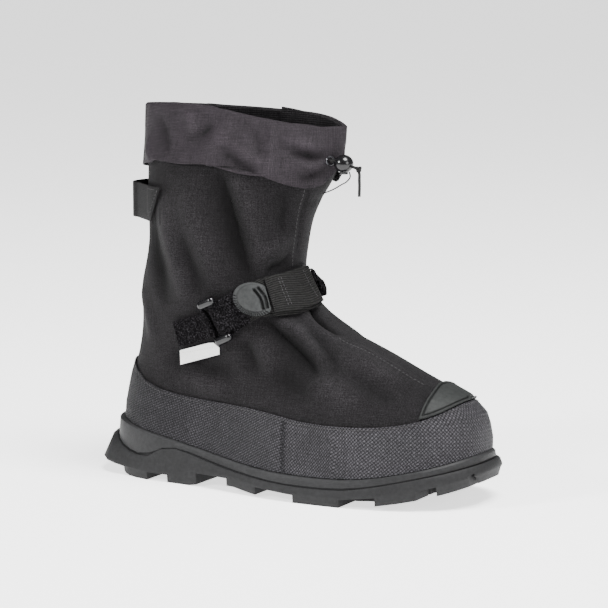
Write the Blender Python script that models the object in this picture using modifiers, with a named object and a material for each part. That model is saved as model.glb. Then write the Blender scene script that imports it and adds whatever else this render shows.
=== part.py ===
"""Pull-on overshoe for the right foot, standing on its sole. Metres.

+X runs from heel to toe, -Y is the outer (lateral) side and +Z is up. The origin is on the floor
under the middle of the heel.
"""
import math
from collections import namedtuple

import bmesh
import bpy
import numpy as np
from mathutils import Vector

# Fits and wall thicknesses
FIT_GAP = 0.0003
RIM_GAP = 0.0005
UPPER_WALL = 0.0016
PANEL_WALL = 0.0010
PATCH_WALL = 0.0016
CUFF_WALL = 0.0012
INSOLE_WALL = 0.0030
TAPE_WALL = 0.0012
LATERAL = -1
MEDIAL = 1

# Columns of facets on each side of the shoe, and how far they crowd together at heel and toe
UPPER_COLUMNS = 22
SOLE_COLUMNS = 32
END_CROWDING = 0.45
PLAN_STEPS = 161
SEARCH_STEPS = 26
SHARP_ANGLE = math.radians(40.0)

# Horizontal slices of the upper: where the heel curve ends and the toe curve starts, and half widths
Section = namedtuple("Section", "level back heel_end toe_start front heel_half ball_half toe_power")
UPPER_SECTIONS = [
    Section(0.012, -0.0305, 0.022, 0.166, 0.2685, 0.0420, 0.0580, 2.45),
    Section(0.045, -0.0325, 0.020, 0.164, 0.2712, 0.0430, 0.0580, 2.45),
    Section(0.060, -0.0310, 0.020, 0.158, 0.2700, 0.0418, 0.0555, 2.40),
    Section(0.070, -0.0290, 0.021, 0.150, 0.2645, 0.0412, 0.0525, 2.30),
    Section(0.078, -0.0268, 0.023, 0.138, 0.2545, 0.0408, 0.0495, 2.20),
    Section(0.086, -0.0240, 0.026, 0.125, 0.2370, 0.0405, 0.0470, 2.10),
    Section(0.094, -0.0215, 0.030, 0.110, 0.2210, 0.0406, 0.0448, 2.05),
    Section(0.102, -0.0198, 0.035, 0.097, 0.2050, 0.0412, 0.0436, 2.00),
    Section(0.110, -0.0186, 0.040, 0.087, 0.1875, 0.0418, 0.0432, 2.00),
    Section(0.117, -0.0179, 0.044, 0.079, 0.1680, 0.0424, 0.0434, 2.00),
    Section(0.124, -0.0175, 0.047, 0.073, 0.1500, 0.0432, 0.0440, 2.00),
    Section(0.132, -0.0175, 0.049, 0.067, 0.1370, 0.0446, 0.0450, 2.00),
    Section(0.142, -0.0176, 0.050, 0.063, 0.1290, 0.0464, 0.0466, 2.00),
    Section(0.155, -0.0160, 0.051, 0.059, 0.1210, 0.0484, 0.0484, 2.00),
    Section(0.167, -0.0125, 0.052, 0.056, 0.1170, 0.0494, 0.0494, 2.00),
    Section(0.185, -0.0095, 0.053, 0.055, 0.1193, 0.0490, 0.0490, 1.98),
    Section(0.202, -0.0105, 0.054, 0.056, 0.1222, 0.0480, 0.0480, 1.92),
    Section(0.216, -0.0115, 0.055, 0.058, 0.1295, 0.0465, 0.0465, 1.82),
    Section(0.228, -0.0121, 0.057, 0.061, 0.1400, 0.0442, 0.0442, 1.76),
    Section(0.240, -0.0125, 0.059, 0.063, 0.1485, 0.0416, 0.0416, 1.72),
    Section(0.258, -0.0135, 0.061, 0.065, 0.1530, 0.0375, 0.0375, 1.68),
    Section(0.274, -0.0145, 0.062, 0.066, 0.1555, 0.0335, 0.0335, 1.65),
    Section(0.294, -0.0148, 0.062, 0.066, 0.1570, 0.0300, 0.0300, 1.62),
]
HEEL_POWER = 2.15
HEEL_WIDTH_X = 0.030
BALL_WIDTH_X = 0.150
MEDIAL_SHARE = 0.93
ARCH_HOLLOW = 0.09
ARCH_X = 0.085
ARCH_LENGTH = 0.050
TOE_IN = 0.008
TOE_IN_X = 0.110
FOOT_TOP = 0.100
SHAFT_BOTTOM = 0.150

# Heights along the sole: lug faces, line between outsole and midsole, foot bed and top of the rand
Station = namedtuple("Station", "x base groove bed rand")
SOLE_STATIONS = [
    Station(-0.034, 0.0000, 0.0330, 0.0362, 0.0450),
    Station(-0.020, 0.0000, 0.0235, 0.0345, 0.0428),
    Station(-0.006, 0.0000, 0.0188, 0.0334, 0.0400),
    Station(0.006, 0.0000, 0.0186, 0.0326, 0.0378),
    Station(0.016, 0.0000, 0.0232, 0.0318, 0.0360),
    Station(0.026, 0.0000, 0.0278, 0.0308, 0.0342),
    Station(0.048, 0.0000, 0.0246, 0.0276, 0.0302),
    Station(0.063, 0.0030, 0.0212, 0.0242, 0.0278),
    Station(0.084, 0.0052, 0.0174, 0.0204, 0.0246),
    Station(0.112, 0.0018, 0.0142, 0.0172, 0.0213),
    Station(0.132, 0.0000, 0.0128, 0.0158, 0.0203),
    Station(0.160, 0.0000, 0.0123, 0.0152, 0.0198),
    Station(0.188, 0.0000, 0.0136, 0.0165, 0.0208),
    Station(0.209, 0.0030, 0.0174, 0.0202, 0.0234),
    Station(0.232, 0.0072, 0.0228, 0.0256, 0.0280),
    Station(0.254, 0.0130, 0.0284, 0.0312, 0.0336),
    Station(0.268, 0.0182, 0.0324, 0.0352, 0.0382),
    Station(0.280, 0.0240, 0.0360, 0.0388, 0.0420),
]

# How far the rand and outsole stand out from the upper, along the foot and more at heel and toe
HEEL_BULGE_X = (-0.030, -0.006)
TOE_BULGE_X = (0.222, 0.268)
Step = namedtuple("Step", "along heel_extra toe_extra")
RAND_TOP = Step(0.0016, 0.0004, 0.0000)
RAND_SHOULDER = Step(0.0026, 0.0026, 0.0004)
RAND_FOOT = Step(0.0032, 0.0030, 0.0006)
OUTSOLE_TOP = Step(0.0040, 0.0032, 0.0016)
OUTSOLE_SHOULDER = Step(0.0047, 0.0074, 0.0022)
OUTSOLE_WALL = Step(0.0058, 0.0128, 0.0026)
OUTSOLE_LEDGE = Step(0.0058, 0.0120, 0.0024)
LUG_TOP = Step(0.0056, -0.0028, 0.0018)
LUG_FACE = Step(0.0050, -0.0030, 0.0010)
SHOULDER_DROP = 0.0014
HEEL_SHOULDER_DROP = 0.0030
LUG_DEPTH = 0.0060
LEDGE_DEPTH = 0.0010
HEEL_LEDGE_DEPTH = 0.0034
LEDGE_EDGE = 0.0015

# Lugs: notches in both edges, grooves across the middle row, channels between the rows
Notch = namedtuple("Notch", "start end")
EDGE_NOTCHES = [
    Notch(0.008, 0.027),
    Notch(0.112, 0.146),
    Notch(0.184, 0.212),
    Notch(0.241, 0.254),
    Notch(0.2715, 0.2745),
]
MIDDLE_GROOVES = [
    Notch(-0.020, -0.016),
    Notch(0.018, 0.023),
    Notch(0.104, 0.109),
    Notch(0.128, 0.133),
    Notch(0.163, 0.168),
    Notch(0.197, 0.202),
    Notch(0.228, 0.233),
    Notch(0.252, 0.256),
]
ARCH_RECESS = Notch(0.054, 0.084)
ARCH_RECESS_TOP = 0.0105
EDGE_NOTCH_REACH = 0.020
MIDDLE_HALF_HEEL = 0.016
MIDDLE_HALF_BALL = 0.024
CHANNEL_WIDTH = 0.004
CHANNEL_DEPTH = 0.0040
GROOVE_DEPTH = 0.0048
CHANNEL_ENDS = (-0.026, 0.258)
CHANNEL_OVERLAP = 0.004
CHANNEL_STEPS = 10
EDGE_NOTCH_LIMIT = 0.006
CUTTER_BOTTOM = -0.020
CUTTER_SIDE = 0.095
SOLE_RANGE = (0.010, 0.060)
PANEL_RANGE = (0.045, 0.110)
TOP_RANGE = (0.045, 0.140)

# Upper edge of the woven foot panel, along the foot
Edge = namedtuple("Edge", "place height")
PANEL_EDGE = [
    Edge(-0.030, 0.0930),
    Edge(-0.018, 0.0885),
    Edge(0.005, 0.0755),
    Edge(0.030, 0.0695),
    Edge(0.060, 0.0670),
    Edge(0.095, 0.0660),
    Edge(0.120, 0.0640),
    Edge(0.155, 0.0598),
    Edge(0.183, 0.0594),
    Edge(0.210, 0.0606),
    Edge(0.227, 0.0630),
    Edge(0.238, 0.0655),
    Edge(0.251, 0.0712),
    Edge(0.261, 0.0775),
]
PANEL_ROWS = 4
UPPER_LEVELS = [
    0.070, 0.076, 0.082, 0.089, 0.097, 0.105, 0.113, 0.121, 0.130, 0.140,
    0.150, 0.160, 0.171, 0.186, 0.203, 0.218, 0.232, 0.250, 0.270, 0.292,
]

# Collar rim and lower edge of the cuff, by the share of the way from the back to the front
RIM_EDGE = [
    Edge(0.00, 0.2875),
    Edge(0.35, 0.2880),
    Edge(0.60, 0.2868),
    Edge(0.82, 0.2836),
    Edge(0.92, 0.2790),
    Edge(1.00, 0.2755),
]
RIM_SIDE_TILT = 0.0030
CUFF_EDGE = [
    Edge(0.00, 0.2400),
    Edge(0.25, 0.2475),
    Edge(0.45, 0.2468),
    Edge(0.62, 0.2445),
    Edge(0.79, 0.2380),
    Edge(0.90, 0.2340),
    Edge(0.95, 0.2345),
    Edge(0.98, 0.2420),
    Edge(1.00, 0.2500),
]
CUFF_ROWS = 4
CUFF_GAP = 0.0010
CREST_RISE = 0.0008
CUFF_FLARE = 0.0022
CUFF_LINING = 0.014

# Toe patch, between its straight rear edge and the panel's edge
PATCH_REAR_X = 0.2330
PATCH_TIP_X = 0.2580
PATCH_MARGIN = 0.0012
PATCH_ROWS = 6
PATCH_COLUMNS = 12
PATCH_GAP = 0.0010

# Pull loop at the back of the shaft
LOOP_LOW = 0.2005
LOOP_HIGH = 0.2280
LOOP_REACH = 0.0160
LOOP_HALF = 0.0150
LOOP_SQUARE = 3.0
LOOP_FOOT_ANGLES = (129.0, 152.0)

# Strap set over the instep: its route round the ankle, by angle from the front, lateral positive
SHAFT_AXIS_X = 0.055
SHAFT_REACH = 0.160
Turn = namedtuple("Turn", "angle height")
STRAP_ROUTE = [
    Turn(118.0, 0.1160),
    Turn(93.0, 0.1224),
    Turn(66.0, 0.1320),
    Turn(43.0, 0.1465),
    Turn(20.0, 0.1535),
    Turn(0.0, 0.1565),
    Turn(-30.0, 0.1530),
    Turn(-64.0, 0.1420),
]
ROUTE_STEPS = 64
LEVEL_STEP = 0.004
STRAP_HALF = 0.0125
ANCHOR_HALF = 0.0100
RING_ROD = 0.0013
RING_HALF = 0.0152
RING_REACH = 0.0046
RING_CORNER = 0.0022
SIDE_RING_ANGLE = 72.0
FRONT_RING_ANGLE = -4.0
ANCHOR_ANGLE = 117.0
FRONT_ANCHOR_ANGLE = -62.0
TAB_ANGLES = (54.5, 32.0)
TAB_HALF = 0.0126
TAB_WALL = 0.0034
TAB_ROUND = 0.62
TAB_NARROWING = 0.22
TAB_BEVEL = 0.0012
TAB_STEPS = 12
STRAP_REST = 0.0011
LAYER_RISE = 0.0021
FOLD_CLEARANCE = 0.004
FOLD_START = 0.006
STRAP_UNDERLAP = 0.016
FAR_OVERLAP = (0.008, 0.022)

# Side label, lower rear corner first, then along the shoe
LABEL_REAR_X = 0.0360
LABEL_LENGTH = 0.0355
LABEL_LOW = 0.0922
LABEL_HEIGHT = 0.0112
LABEL_SLOPE = 0.31
LABEL_WALL = 0.0007
LABEL_CORNER = 0.0060

# Cord lock and drawcord at the front of the cuff
LOCK_ANGLE = math.radians(5.7)
LOCK_CENTRE = Vector((0.1608, -0.0100, 0.2500))
LOCK_RADIUS = 0.0066
LOCK_BORE = 0.0020
PLUNGER_RADIUS = 0.0034
PLUNGER_LENGTH = 0.0030
EYELET_RADIUS = 0.0030
EYELET_ROD = 0.0008
EYELET_RISE = 0.0020
EYELET_FLARE = 0.0010
EYELET_TURN = math.radians(1.5)
LEAD_STRAIGHT = 0.0030
CORD_RADIUS = 0.0011
STRAND_RADIUS = 0.0005
KNOT_RADIUS = 0.0026
KNOT_CENTRE = Vector((0.1734, -0.0100, 0.2466))
TAIL_ROUTE = [
    Vector((0.1742, -0.0102, 0.2437)),
    Vector((0.1743, -0.0106, 0.2395)),
    Vector((0.1747, -0.0111, 0.2345)),
    Vector((0.1749, -0.0116, 0.2302)),
    Vector((0.1750, -0.0120, 0.2262)),
]
STRAND_ROUTE = [
    Vector((0.1655, -0.0100, 0.2442)),
    Vector((0.1662, -0.0098, 0.2408)),
    Vector((0.1632, -0.0092, 0.2370)),
    Vector((0.1574, -0.0084, 0.2338)),
    Vector((0.1520, -0.0076, 0.2308)),
    Vector((0.1462, -0.0068, 0.2283)),
    Vector((0.1412, -0.0062, 0.2265)),
]

# Colours, roughness
Finish = namedtuple("Finish", "colour roughness metallic")
FINISHES = {
    "sole_rubber": Finish((0.075, 0.075, 0.078), 0.60, 0.0),
    "rand_rubber": Finish((0.066, 0.066, 0.069), 0.55, 0.0),
    "foot_bed": Finish((0.030, 0.030, 0.032), 0.90, 0.0),
    "shell_nylon": Finish((0.032, 0.031, 0.033), 0.80, 0.0),
    "woven_nylon": Finish((0.062, 0.060, 0.066), 0.70, 0.0),
    "patch_rubber": Finish((0.105, 0.108, 0.107), 0.55, 0.0),
    "cuff_nylon": Finish((0.078, 0.071, 0.080), 0.65, 0.0),
    "tape": Finish((0.020, 0.020, 0.021), 0.85, 0.0),
    "webbing": Finish((0.034, 0.033, 0.032), 0.80, 0.0),
    "tab_rubber": Finish((0.100, 0.102, 0.102), 0.60, 0.0),
    "ring_plastic": Finish((0.012, 0.012, 0.013), 0.25, 0.0),
    "label_cloth": Finish((0.800, 0.800, 0.770), 0.85, 0.0),
    "eyelet_metal": Finish((0.350, 0.350, 0.360), 0.30, 1.0),
    "cord": Finish((0.035, 0.034, 0.035), 0.80, 0.0),
}


def make_collection(name):
    """A new collection in the scene."""
    group = bpy.data.collections.new(name)
    bpy.context.scene.collection.children.link(group)
    return group


def make_material(name):
    """A Principled material with one of the part's finishes."""
    finish = FINISHES[name]
    material = bpy.data.materials.new(name)
    material.use_nodes = True
    shader = material.node_tree.nodes["Principled BSDF"]
    shader.inputs["Base Color"].default_value = (*finish.colour, 1.0)
    shader.inputs["Roughness"].default_value = finish.roughness
    shader.inputs["Metallic"].default_value = finish.metallic
    return material


def ease(value):
    """Smooth step from 0 to 1."""
    value = np.clip(value, 0.0, 1.0)
    return value * value * (3.0 - 2.0 * value)


def smooth(places, values, at):
    """Cubic through the table's points, with no overshoot between them."""
    places = np.asarray(places, float)
    values = np.asarray(values, float)
    at = np.clip(np.asarray(at, float), places[0], places[-1])
    slopes = np.diff(values) / np.diff(places)
    tangents = np.concatenate(([slopes[0]], (slopes[1:] + slopes[:-1]) / 2.0, [slopes[-1]]))
    turning = np.concatenate(([False], slopes[1:] * slopes[:-1] <= 0.0, [False]))
    tangents[turning] = 0.0
    index = np.clip(np.searchsorted(places, at) - 1, 0, len(slopes) - 1)
    width = places[index + 1] - places[index]
    share = (at - places[index]) / width
    first = values[index] * (1 + 2 * share) * (1 - share) ** 2
    second = values[index + 1] * share ** 2 * (3 - 2 * share)
    bend = tangents[index] * share * (1 - share) ** 2 - tangents[index + 1] * share ** 2 * (1 - share)
    return first + second + width * bend


def column(table, name):
    """One named column of a table."""
    return [getattr(row, name) for row in table]


def section_at(level):
    """The upper's slice at a height."""
    levels = column(UPPER_SECTIONS, "level")
    values = [float(smooth(levels, column(UPPER_SECTIONS, name), level)) for name in Section._fields[1:]]
    return Section(level, *values)


def sole_height(name, x):
    """One of the sole's heights at a place along the shoe."""
    return smooth(column(SOLE_STATIONS, "x"), column(SOLE_STATIONS, name), x)


def edge_height(table, place):
    """Height of an edge at a place in its table."""
    return smooth(column(table, "place"), column(table, "height"), place)


def half_width(x, section, side):
    """Distance from the middle line to the upper's surface, on a slice."""
    across = ease((x - HEEL_WIDTH_X) / (BALL_WIDTH_X - HEEL_WIDTH_X))
    width = section.heel_half + (section.ball_half - section.heel_half) * across
    foot = 1.0 - ease((section.level - FOOT_TOP) / (SHAFT_BOTTOM - FOOT_TOP))
    if side == MEDIAL:
        hollow = ARCH_HOLLOW * np.exp(-(((x - ARCH_X) / ARCH_LENGTH) ** 2))
        width = width * (1.0 - foot * (1.0 - MEDIAL_SHARE + hollow))
    heel = np.clip((section.heel_end - x) / (section.heel_end - section.back), 0.0, 1.0)
    toe = np.clip((x - section.toe_start) / (section.front - section.toe_start), 0.0, 1.0)
    width = width * (1.0 - heel ** HEEL_POWER) ** (1.0 / HEEL_POWER)
    return width * (1.0 - toe ** section.toe_power) ** (1.0 / section.toe_power)


def middle_line(x, level):
    """Sideways place of the middle line, which turns in towards the big toe."""
    foot = 1.0 - ease((level - FOOT_TOP) / (SHAFT_BOTTOM - FOOT_TOP))
    reach = np.clip((x - TOE_IN_X) / (UPPER_SECTIONS[1].front - TOE_IN_X), 0.0, 1.0)
    return TOE_IN * foot * reach ** 2


def surface_point(share, side, level):
    """A point on the upper, by its share of the way from heel to toe along one side of a slice."""
    section = section_at(level)
    turn = np.linspace(0.0, math.pi, PLAN_STEPS)
    x = section.back + (section.front - section.back) * (1.0 - np.cos(turn)) / 2.0
    y = side * half_width(x, section, side) + middle_line(x, level)
    run = np.concatenate(([0.0], np.cumsum(np.hypot(np.diff(x), np.diff(y)))))
    place = share * run[-1]
    return Vector((np.interp(place, run, x), np.interp(place, run, y), level))


def edge_level(edge, share, side, low, high):
    """Height where a column of the upper meets an edge that is given along the foot."""
    for _ in range(SEARCH_STEPS):
        level = (low + high) / 2.0
        if level < edge(surface_point(share, side, level).x):
            low = level
        else:
            high = level
    return level


def ring_columns(count):
    """Share and side of each column, round the shoe from the heel by the lateral side."""
    steps = np.linspace(0.0, 1.0, count + 1)
    shares = steps - END_CROWDING * np.sin(2.0 * math.pi * steps) / (2.0 * math.pi)
    lateral = [(share, LATERAL) for share in shares]
    medial = [(share, MEDIAL) for share in shares[-2:0:-1]]
    return lateral + medial


def outward(ring):
    """Level normals of a closed ring of points."""
    normals = []
    for index, _ in enumerate(ring):
        along = ring[(index + 1) % len(ring)] - ring[index - 1]
        normals.append(Vector((along.y, -along.x, 0.0)).normalized())
    return normals


def add_loft(mesh, rows, wrap=True):
    """Quads between rows of points. Returns the rows of vertices."""
    made = [[mesh.verts.new(point) for point in row] for row in rows]
    for lower, upper in zip(made, made[1:]):
        for index in range(len(lower) if wrap else len(lower) - 1):
            after = (index + 1) % len(lower)
            mesh.faces.new((lower[index], lower[after], upper[after], upper[index]))
    return made


def add_strips(mesh, ring, facing_up):
    """Close a ring of vertices with strips from its lateral to its medial side."""
    half = len(ring) // 2
    for index in range(half):
        lateral = (ring[index], ring[index + 1])
        medial = (ring[(len(ring) - index - 1) % len(ring)], ring[-index])
        corners = [lateral[0], lateral[1], medial[0], medial[1]]
        corners = list(dict.fromkeys(corners))
        mesh.faces.new(corners if facing_up else corners[::-1])


def finish_mesh(name, mesh, material, group, closed=True):
    """Turn a bmesh into a named object in a collection. An open surface keeps its normals."""
    if closed:
        bmesh.ops.recalc_face_normals(mesh, faces=mesh.faces)
        bmesh.ops.triangulate(mesh, faces=mesh.faces)
    data = bpy.data.meshes.new(name)
    mesh.to_mesh(data)
    mesh.free()
    data.shade_smooth()
    data.set_sharp_from_angle(angle=SHARP_ANGLE)
    if material:
        data.materials.append(material)
    part = bpy.data.objects.new(name, data)
    group.objects.link(part)
    return part


def thicken(part, thickness, side):
    """Give an open surface its wall: side 1 grows outwards, -1 inwards."""
    wall = part.modifiers.new("wall", "SOLIDIFY")
    wall.thickness = thickness
    wall.offset = side
    wall.use_even_offset = False
    return wall


def bulge_at(x, step):
    """How far one line of the sole stands out from the upper."""
    heel = 1.0 - ease((x - HEEL_BULGE_X[0]) / (HEEL_BULGE_X[1] - HEEL_BULGE_X[0]))
    toe = ease((x - TOE_BULGE_X[0]) / (TOE_BULGE_X[1] - TOE_BULGE_X[0]))
    return float(step.along + heel * step.heel_extra + toe * step.toe_extra)


def heel_blend(x, along, heel):
    """A depth that changes at the heel block."""
    share = 1.0 - ease((x - HEEL_BULGE_X[0]) / (HEEL_BULGE_X[1] - HEEL_BULGE_X[0]))
    return float(along + (heel - along) * share)


def rand_ring():
    """The upper's outline at the top of the rand, and the outline where it meets the foot bed."""
    top = []
    bottom = []
    for share, side in ring_columns(SOLE_COLUMNS):
        rand = edge_level(lambda x: sole_height("rand", x), share, side, *SOLE_RANGE)
        bed = edge_level(lambda x: sole_height("bed", x), share, side, *SOLE_RANGE)
        top.append(surface_point(share, side, rand))
        bottom.append(surface_point(share, side, bed))
    return top, bottom


def spread(ring, normals, step, height):
    """A ring moved out by a step of the sole, at heights given by a function of x."""
    moved = []
    for point, normal in zip(ring, normals):
        place = point + normal * bulge_at(point.x, step)
        moved.append(Vector((place.x, place.y, float(height(point.x)))))
    return moved


def build_midsole(group):
    """Rand cup: rounded rim round the upper's lower edge, floor, and flat-sided foot."""
    top, bottom = rand_ring()
    normals = outward(top)
    mesh = bmesh.new()
    bed = [point + normal * RIM_GAP for point, normal in zip(bottom, normals)]
    lip = [point + normal * RIM_GAP for point, normal in zip(top, normals)]
    rows = [
        bed,
        lip,
        spread(top, normals, RAND_TOP, lambda x: sole_height("rand", x)),
        spread(top, normals, RAND_SHOULDER, lambda x: sole_height("rand", x) - SHOULDER_DROP),
        spread(top, normals, RAND_FOOT, lambda x: sole_height("groove", x)),
    ]
    made = add_loft(mesh, rows)
    add_strips(mesh, made[0], True)
    add_strips(mesh, made[-1], False)
    return finish_mesh("midsole", mesh, make_material("rand_rubber"), group)


def build_insole(group):
    """Foot bed that lies on the midsole inside the upper."""
    _, bottom = rand_ring()
    normals = outward(bottom)
    inset = UPPER_WALL + RIM_GAP * 3.0
    rows = []
    for rise in (FIT_GAP, INSOLE_WALL + FIT_GAP):
        rows.append([
            point - normal * inset + Vector((0.0, 0.0, rise)) for point, normal in zip(bottom, normals)
        ])
    mesh = bmesh.new()
    made = add_loft(mesh, rows)
    add_strips(mesh, made[0], False)
    add_strips(mesh, made[-1], True)
    return finish_mesh("insole", mesh, make_material("foot_bed"), group)


def add_wedge(mesh, x_range, y_range, top_heights):
    """A cutter block with a top that follows the sole's slope."""
    made = bmesh.ops.create_cube(mesh, size=1.0)["verts"]
    for vert in made:
        front = vert.co.x > 0.0
        x = x_range[1] if front else x_range[0]
        y = y_range[1] if vert.co.y > 0.0 else y_range[0]
        z = top_heights[int(front)] if vert.co.z > 0.0 else CUTTER_BOTTOM
        vert.co = Vector((x, y, z))


def notch_tops(notch, depth):
    """Heights of a notch's roof at its two ends."""
    return [float(sole_height("base", x)) + depth for x in notch]


def make_cutter(name, mesh, group):
    """A hidden cutter object."""
    cutter = finish_mesh(name, mesh, None, group)
    cutter.hide_render = True
    cutter.display_type = "WIRE"
    return cutter


def lug_cutters(group):
    """Cutters for the edge notches, the grooves, the channels and the arch."""
    edge = bmesh.new()
    for notch in EDGE_NOTCHES:
        middle = (notch.start + notch.end) / 2.0
        section = section_at(float(sole_height("rand", middle)))
        for side in (LATERAL, MEDIAL):
            reach = float(half_width(middle, section, side)) - EDGE_NOTCH_REACH
            inner = side * max(reach, EDGE_NOTCH_LIMIT) + float(middle_line(middle, section.level))
            y_range = sorted((inner, side * CUTTER_SIDE))
            add_wedge(edge, notch, y_range, notch_tops(notch, LUG_DEPTH))
    middle_row = bmesh.new()
    for notch in MIDDLE_GROOVES:
        half = MIDDLE_HALF_HEEL if notch.end < ARCH_RECESS.start else MIDDLE_HALF_BALL
        half += CHANNEL_WIDTH / 2.0
        add_wedge(middle_row, notch, (-half, half), notch_tops(notch, GROOVE_DEPTH))
    channels = bmesh.new()
    for start, end, half in (
        (CHANNEL_ENDS[0], ARCH_RECESS.start + CHANNEL_OVERLAP, MIDDLE_HALF_HEEL),
        (ARCH_RECESS.end - CHANNEL_OVERLAP, CHANNEL_ENDS[1], MIDDLE_HALF_BALL),
    ):
        stations = np.linspace(start, end, CHANNEL_STEPS)
        for side in (LATERAL, MEDIAL):
            rings = []
            for x in stations:
                top = float(sole_height("base", x)) + CHANNEL_DEPTH
                left = side * half - CHANNEL_WIDTH / 2.0
                right = side * half + CHANNEL_WIDTH / 2.0
                bottom = CUTTER_BOTTOM - CHANNEL_OVERLAP
                corners = ((left, bottom), (right, bottom), (right, top), (left, top))
                rings.append([Vector((x, y, z)) for y, z in corners])
            made = add_loft(channels, rings)
            channels.faces.new(made[0])
            channels.faces.new(made[-1])
    arch = bmesh.new()
    add_wedge(arch, ARCH_RECESS, (-CUTTER_SIDE, CUTTER_SIDE), (ARCH_RECESS_TOP, ARCH_RECESS_TOP))
    return [
        make_cutter("edge_notches", edge, group),
        make_cutter("middle_grooves", middle_row, group),
        make_cutter("lug_channels", channels, group),
        make_cutter("arch_recess", arch, group),
    ]


def build_outsole(group, cutter_group):
    """Lugged outsole with its heel block, arch and toe spring."""
    top, _ = rand_ring()
    normals = outward(top)

    def lug_height(x):
        return sole_height("base", x) + LUG_DEPTH

    def ledge_height(x):
        return lug_height(x) + heel_blend(x, LEDGE_DEPTH, HEEL_LEDGE_DEPTH)

    def shoulder_height(x):
        return sole_height("groove", x) - FIT_GAP - heel_blend(x, SHOULDER_DROP, HEEL_SHOULDER_DROP)

    rows = [
        spread(top, normals, LUG_FACE, lambda x: sole_height("base", x)),
        spread(top, normals, LUG_TOP, lug_height),
        spread(top, normals, OUTSOLE_LEDGE, ledge_height),
        spread(top, normals, OUTSOLE_WALL, lambda x: ledge_height(x) + LEDGE_EDGE),
        spread(top, normals, OUTSOLE_SHOULDER, shoulder_height),
        spread(top, normals, OUTSOLE_TOP, lambda x: sole_height("groove", x) - FIT_GAP),
    ]
    mesh = bmesh.new()
    made = add_loft(mesh, rows)
    add_strips(mesh, made[0], False)
    add_strips(mesh, made[-1], True)
    outsole = finish_mesh("outsole", mesh, make_material("sole_rubber"), group)
    for cutter in lug_cutters(cutter_group):
        cut = outsole.modifiers.new(cutter.name, "BOOLEAN")
        cut.operation = "DIFFERENCE"
        cut.object = cutter
    return outsole


def rim_height(share, side):
    """Height of the collar's rim, a little lower on the medial side."""
    tilt = RIM_SIDE_TILT * side * math.sin(math.pi * share)
    return float(edge_height(RIM_EDGE, share)) - tilt


def upper_rows():
    """The upper's points, row by row from its lower edge to the collar's rim."""
    columns = []
    for share, side in ring_columns(UPPER_COLUMNS):
        bed = edge_level(lambda x: sole_height("bed", x), share, side, *SOLE_RANGE)
        rand = edge_level(lambda x: sole_height("rand", x), share, side, *SOLE_RANGE)
        panel = edge_level(lambda x: edge_height(PANEL_EDGE, x), share, side, *PANEL_RANGE)
        rim = rim_height(share, side)
        levels = [bed + FIT_GAP]
        levels += list(np.linspace(rand + FIT_GAP, panel, PANEL_ROWS + 1))
        shares = [(level - UPPER_LEVELS[0]) / (UPPER_LEVELS[-1] - UPPER_LEVELS[0]) for level in UPPER_LEVELS]
        levels += [panel + (rim - panel) * part for part in shares[1:]]
        columns.append([surface_point(share, side, level) for level in levels])
    return [list(row) for row in zip(*columns)]


def offset_rows(rows, distance):
    """Rows of a closed surface moved along its normals, away from the shoe for a positive distance."""
    mesh = bmesh.new()
    made = add_loft(mesh, rows)
    mesh.normal_update()
    moved = [[vert.co + vert.normal * distance for vert in row] for row in made]
    mesh.free()
    return moved


def build_upper(group, rows):
    """One hollow wall from the sole to the collar."""
    mesh = bmesh.new()
    add_loft(mesh, rows)
    upper = finish_mesh("upper", mesh, make_material("shell_nylon"), group, closed=False)
    thicken(upper, UPPER_WALL, -1.0)
    return upper


def build_foot_panel(group, rows):
    """Woven overlay from the rand up to its curved edge."""
    first = 1
    panel_rows = offset_rows(rows, FIT_GAP)[first:first + PANEL_ROWS + 1]
    mesh = bmesh.new()
    add_loft(mesh, panel_rows)
    panel = finish_mesh("foot_panel", mesh, make_material("woven_nylon"), group, closed=False)
    thicken(panel, PANEL_WALL, 1.0)
    return panel


def top_height(x, y):
    """Height of the upper's top over a point near the toe."""
    low, high = TOP_RANGE
    for _ in range(SEARCH_STEPS):
        level = (low + high) / 2.0
        section = section_at(level)
        offset = y - float(middle_line(x, level))
        side = MEDIAL if offset > 0.0 else LATERAL
        inside = x < section.front and abs(offset) < float(half_width(x, section, side))
        if inside:
            low = level
        else:
            high = level
    return level


def build_toe_patch(group):
    """Rubber patch over the toe, in front of a straight edge and inside the panel's edge."""
    rows = []
    for x in np.linspace(PATCH_TIP_X, PATCH_REAR_X, PATCH_ROWS):
        level = float(edge_height(PANEL_EDGE, x)) + PATCH_MARGIN
        section = section_at(level)
        centre = float(middle_line(x, level))
        lateral = centre - float(half_width(x, section, LATERAL))
        medial = centre + float(half_width(x, section, MEDIAL))
        row = []
        for part in np.linspace(0.0, 1.0, PATCH_COLUMNS + 1):
            y = lateral + (medial - lateral) * part
            row.append(Vector((x, y, max(level, top_height(x, y)))))
        rows.append(row)
    mesh = bmesh.new()
    made = add_loft(mesh, rows, wrap=False)
    mesh.normal_update()
    moved = [vert.co + vert.normal * PATCH_GAP for row in made for vert in row]
    for vert, place in zip((vert for row in made for vert in row), moved):
        vert.co = place
    patch = finish_mesh("toe_patch", mesh, make_material("patch_rubber"), group, closed=False)
    thicken(patch, PATCH_WALL, 1.0)
    return patch


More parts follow.
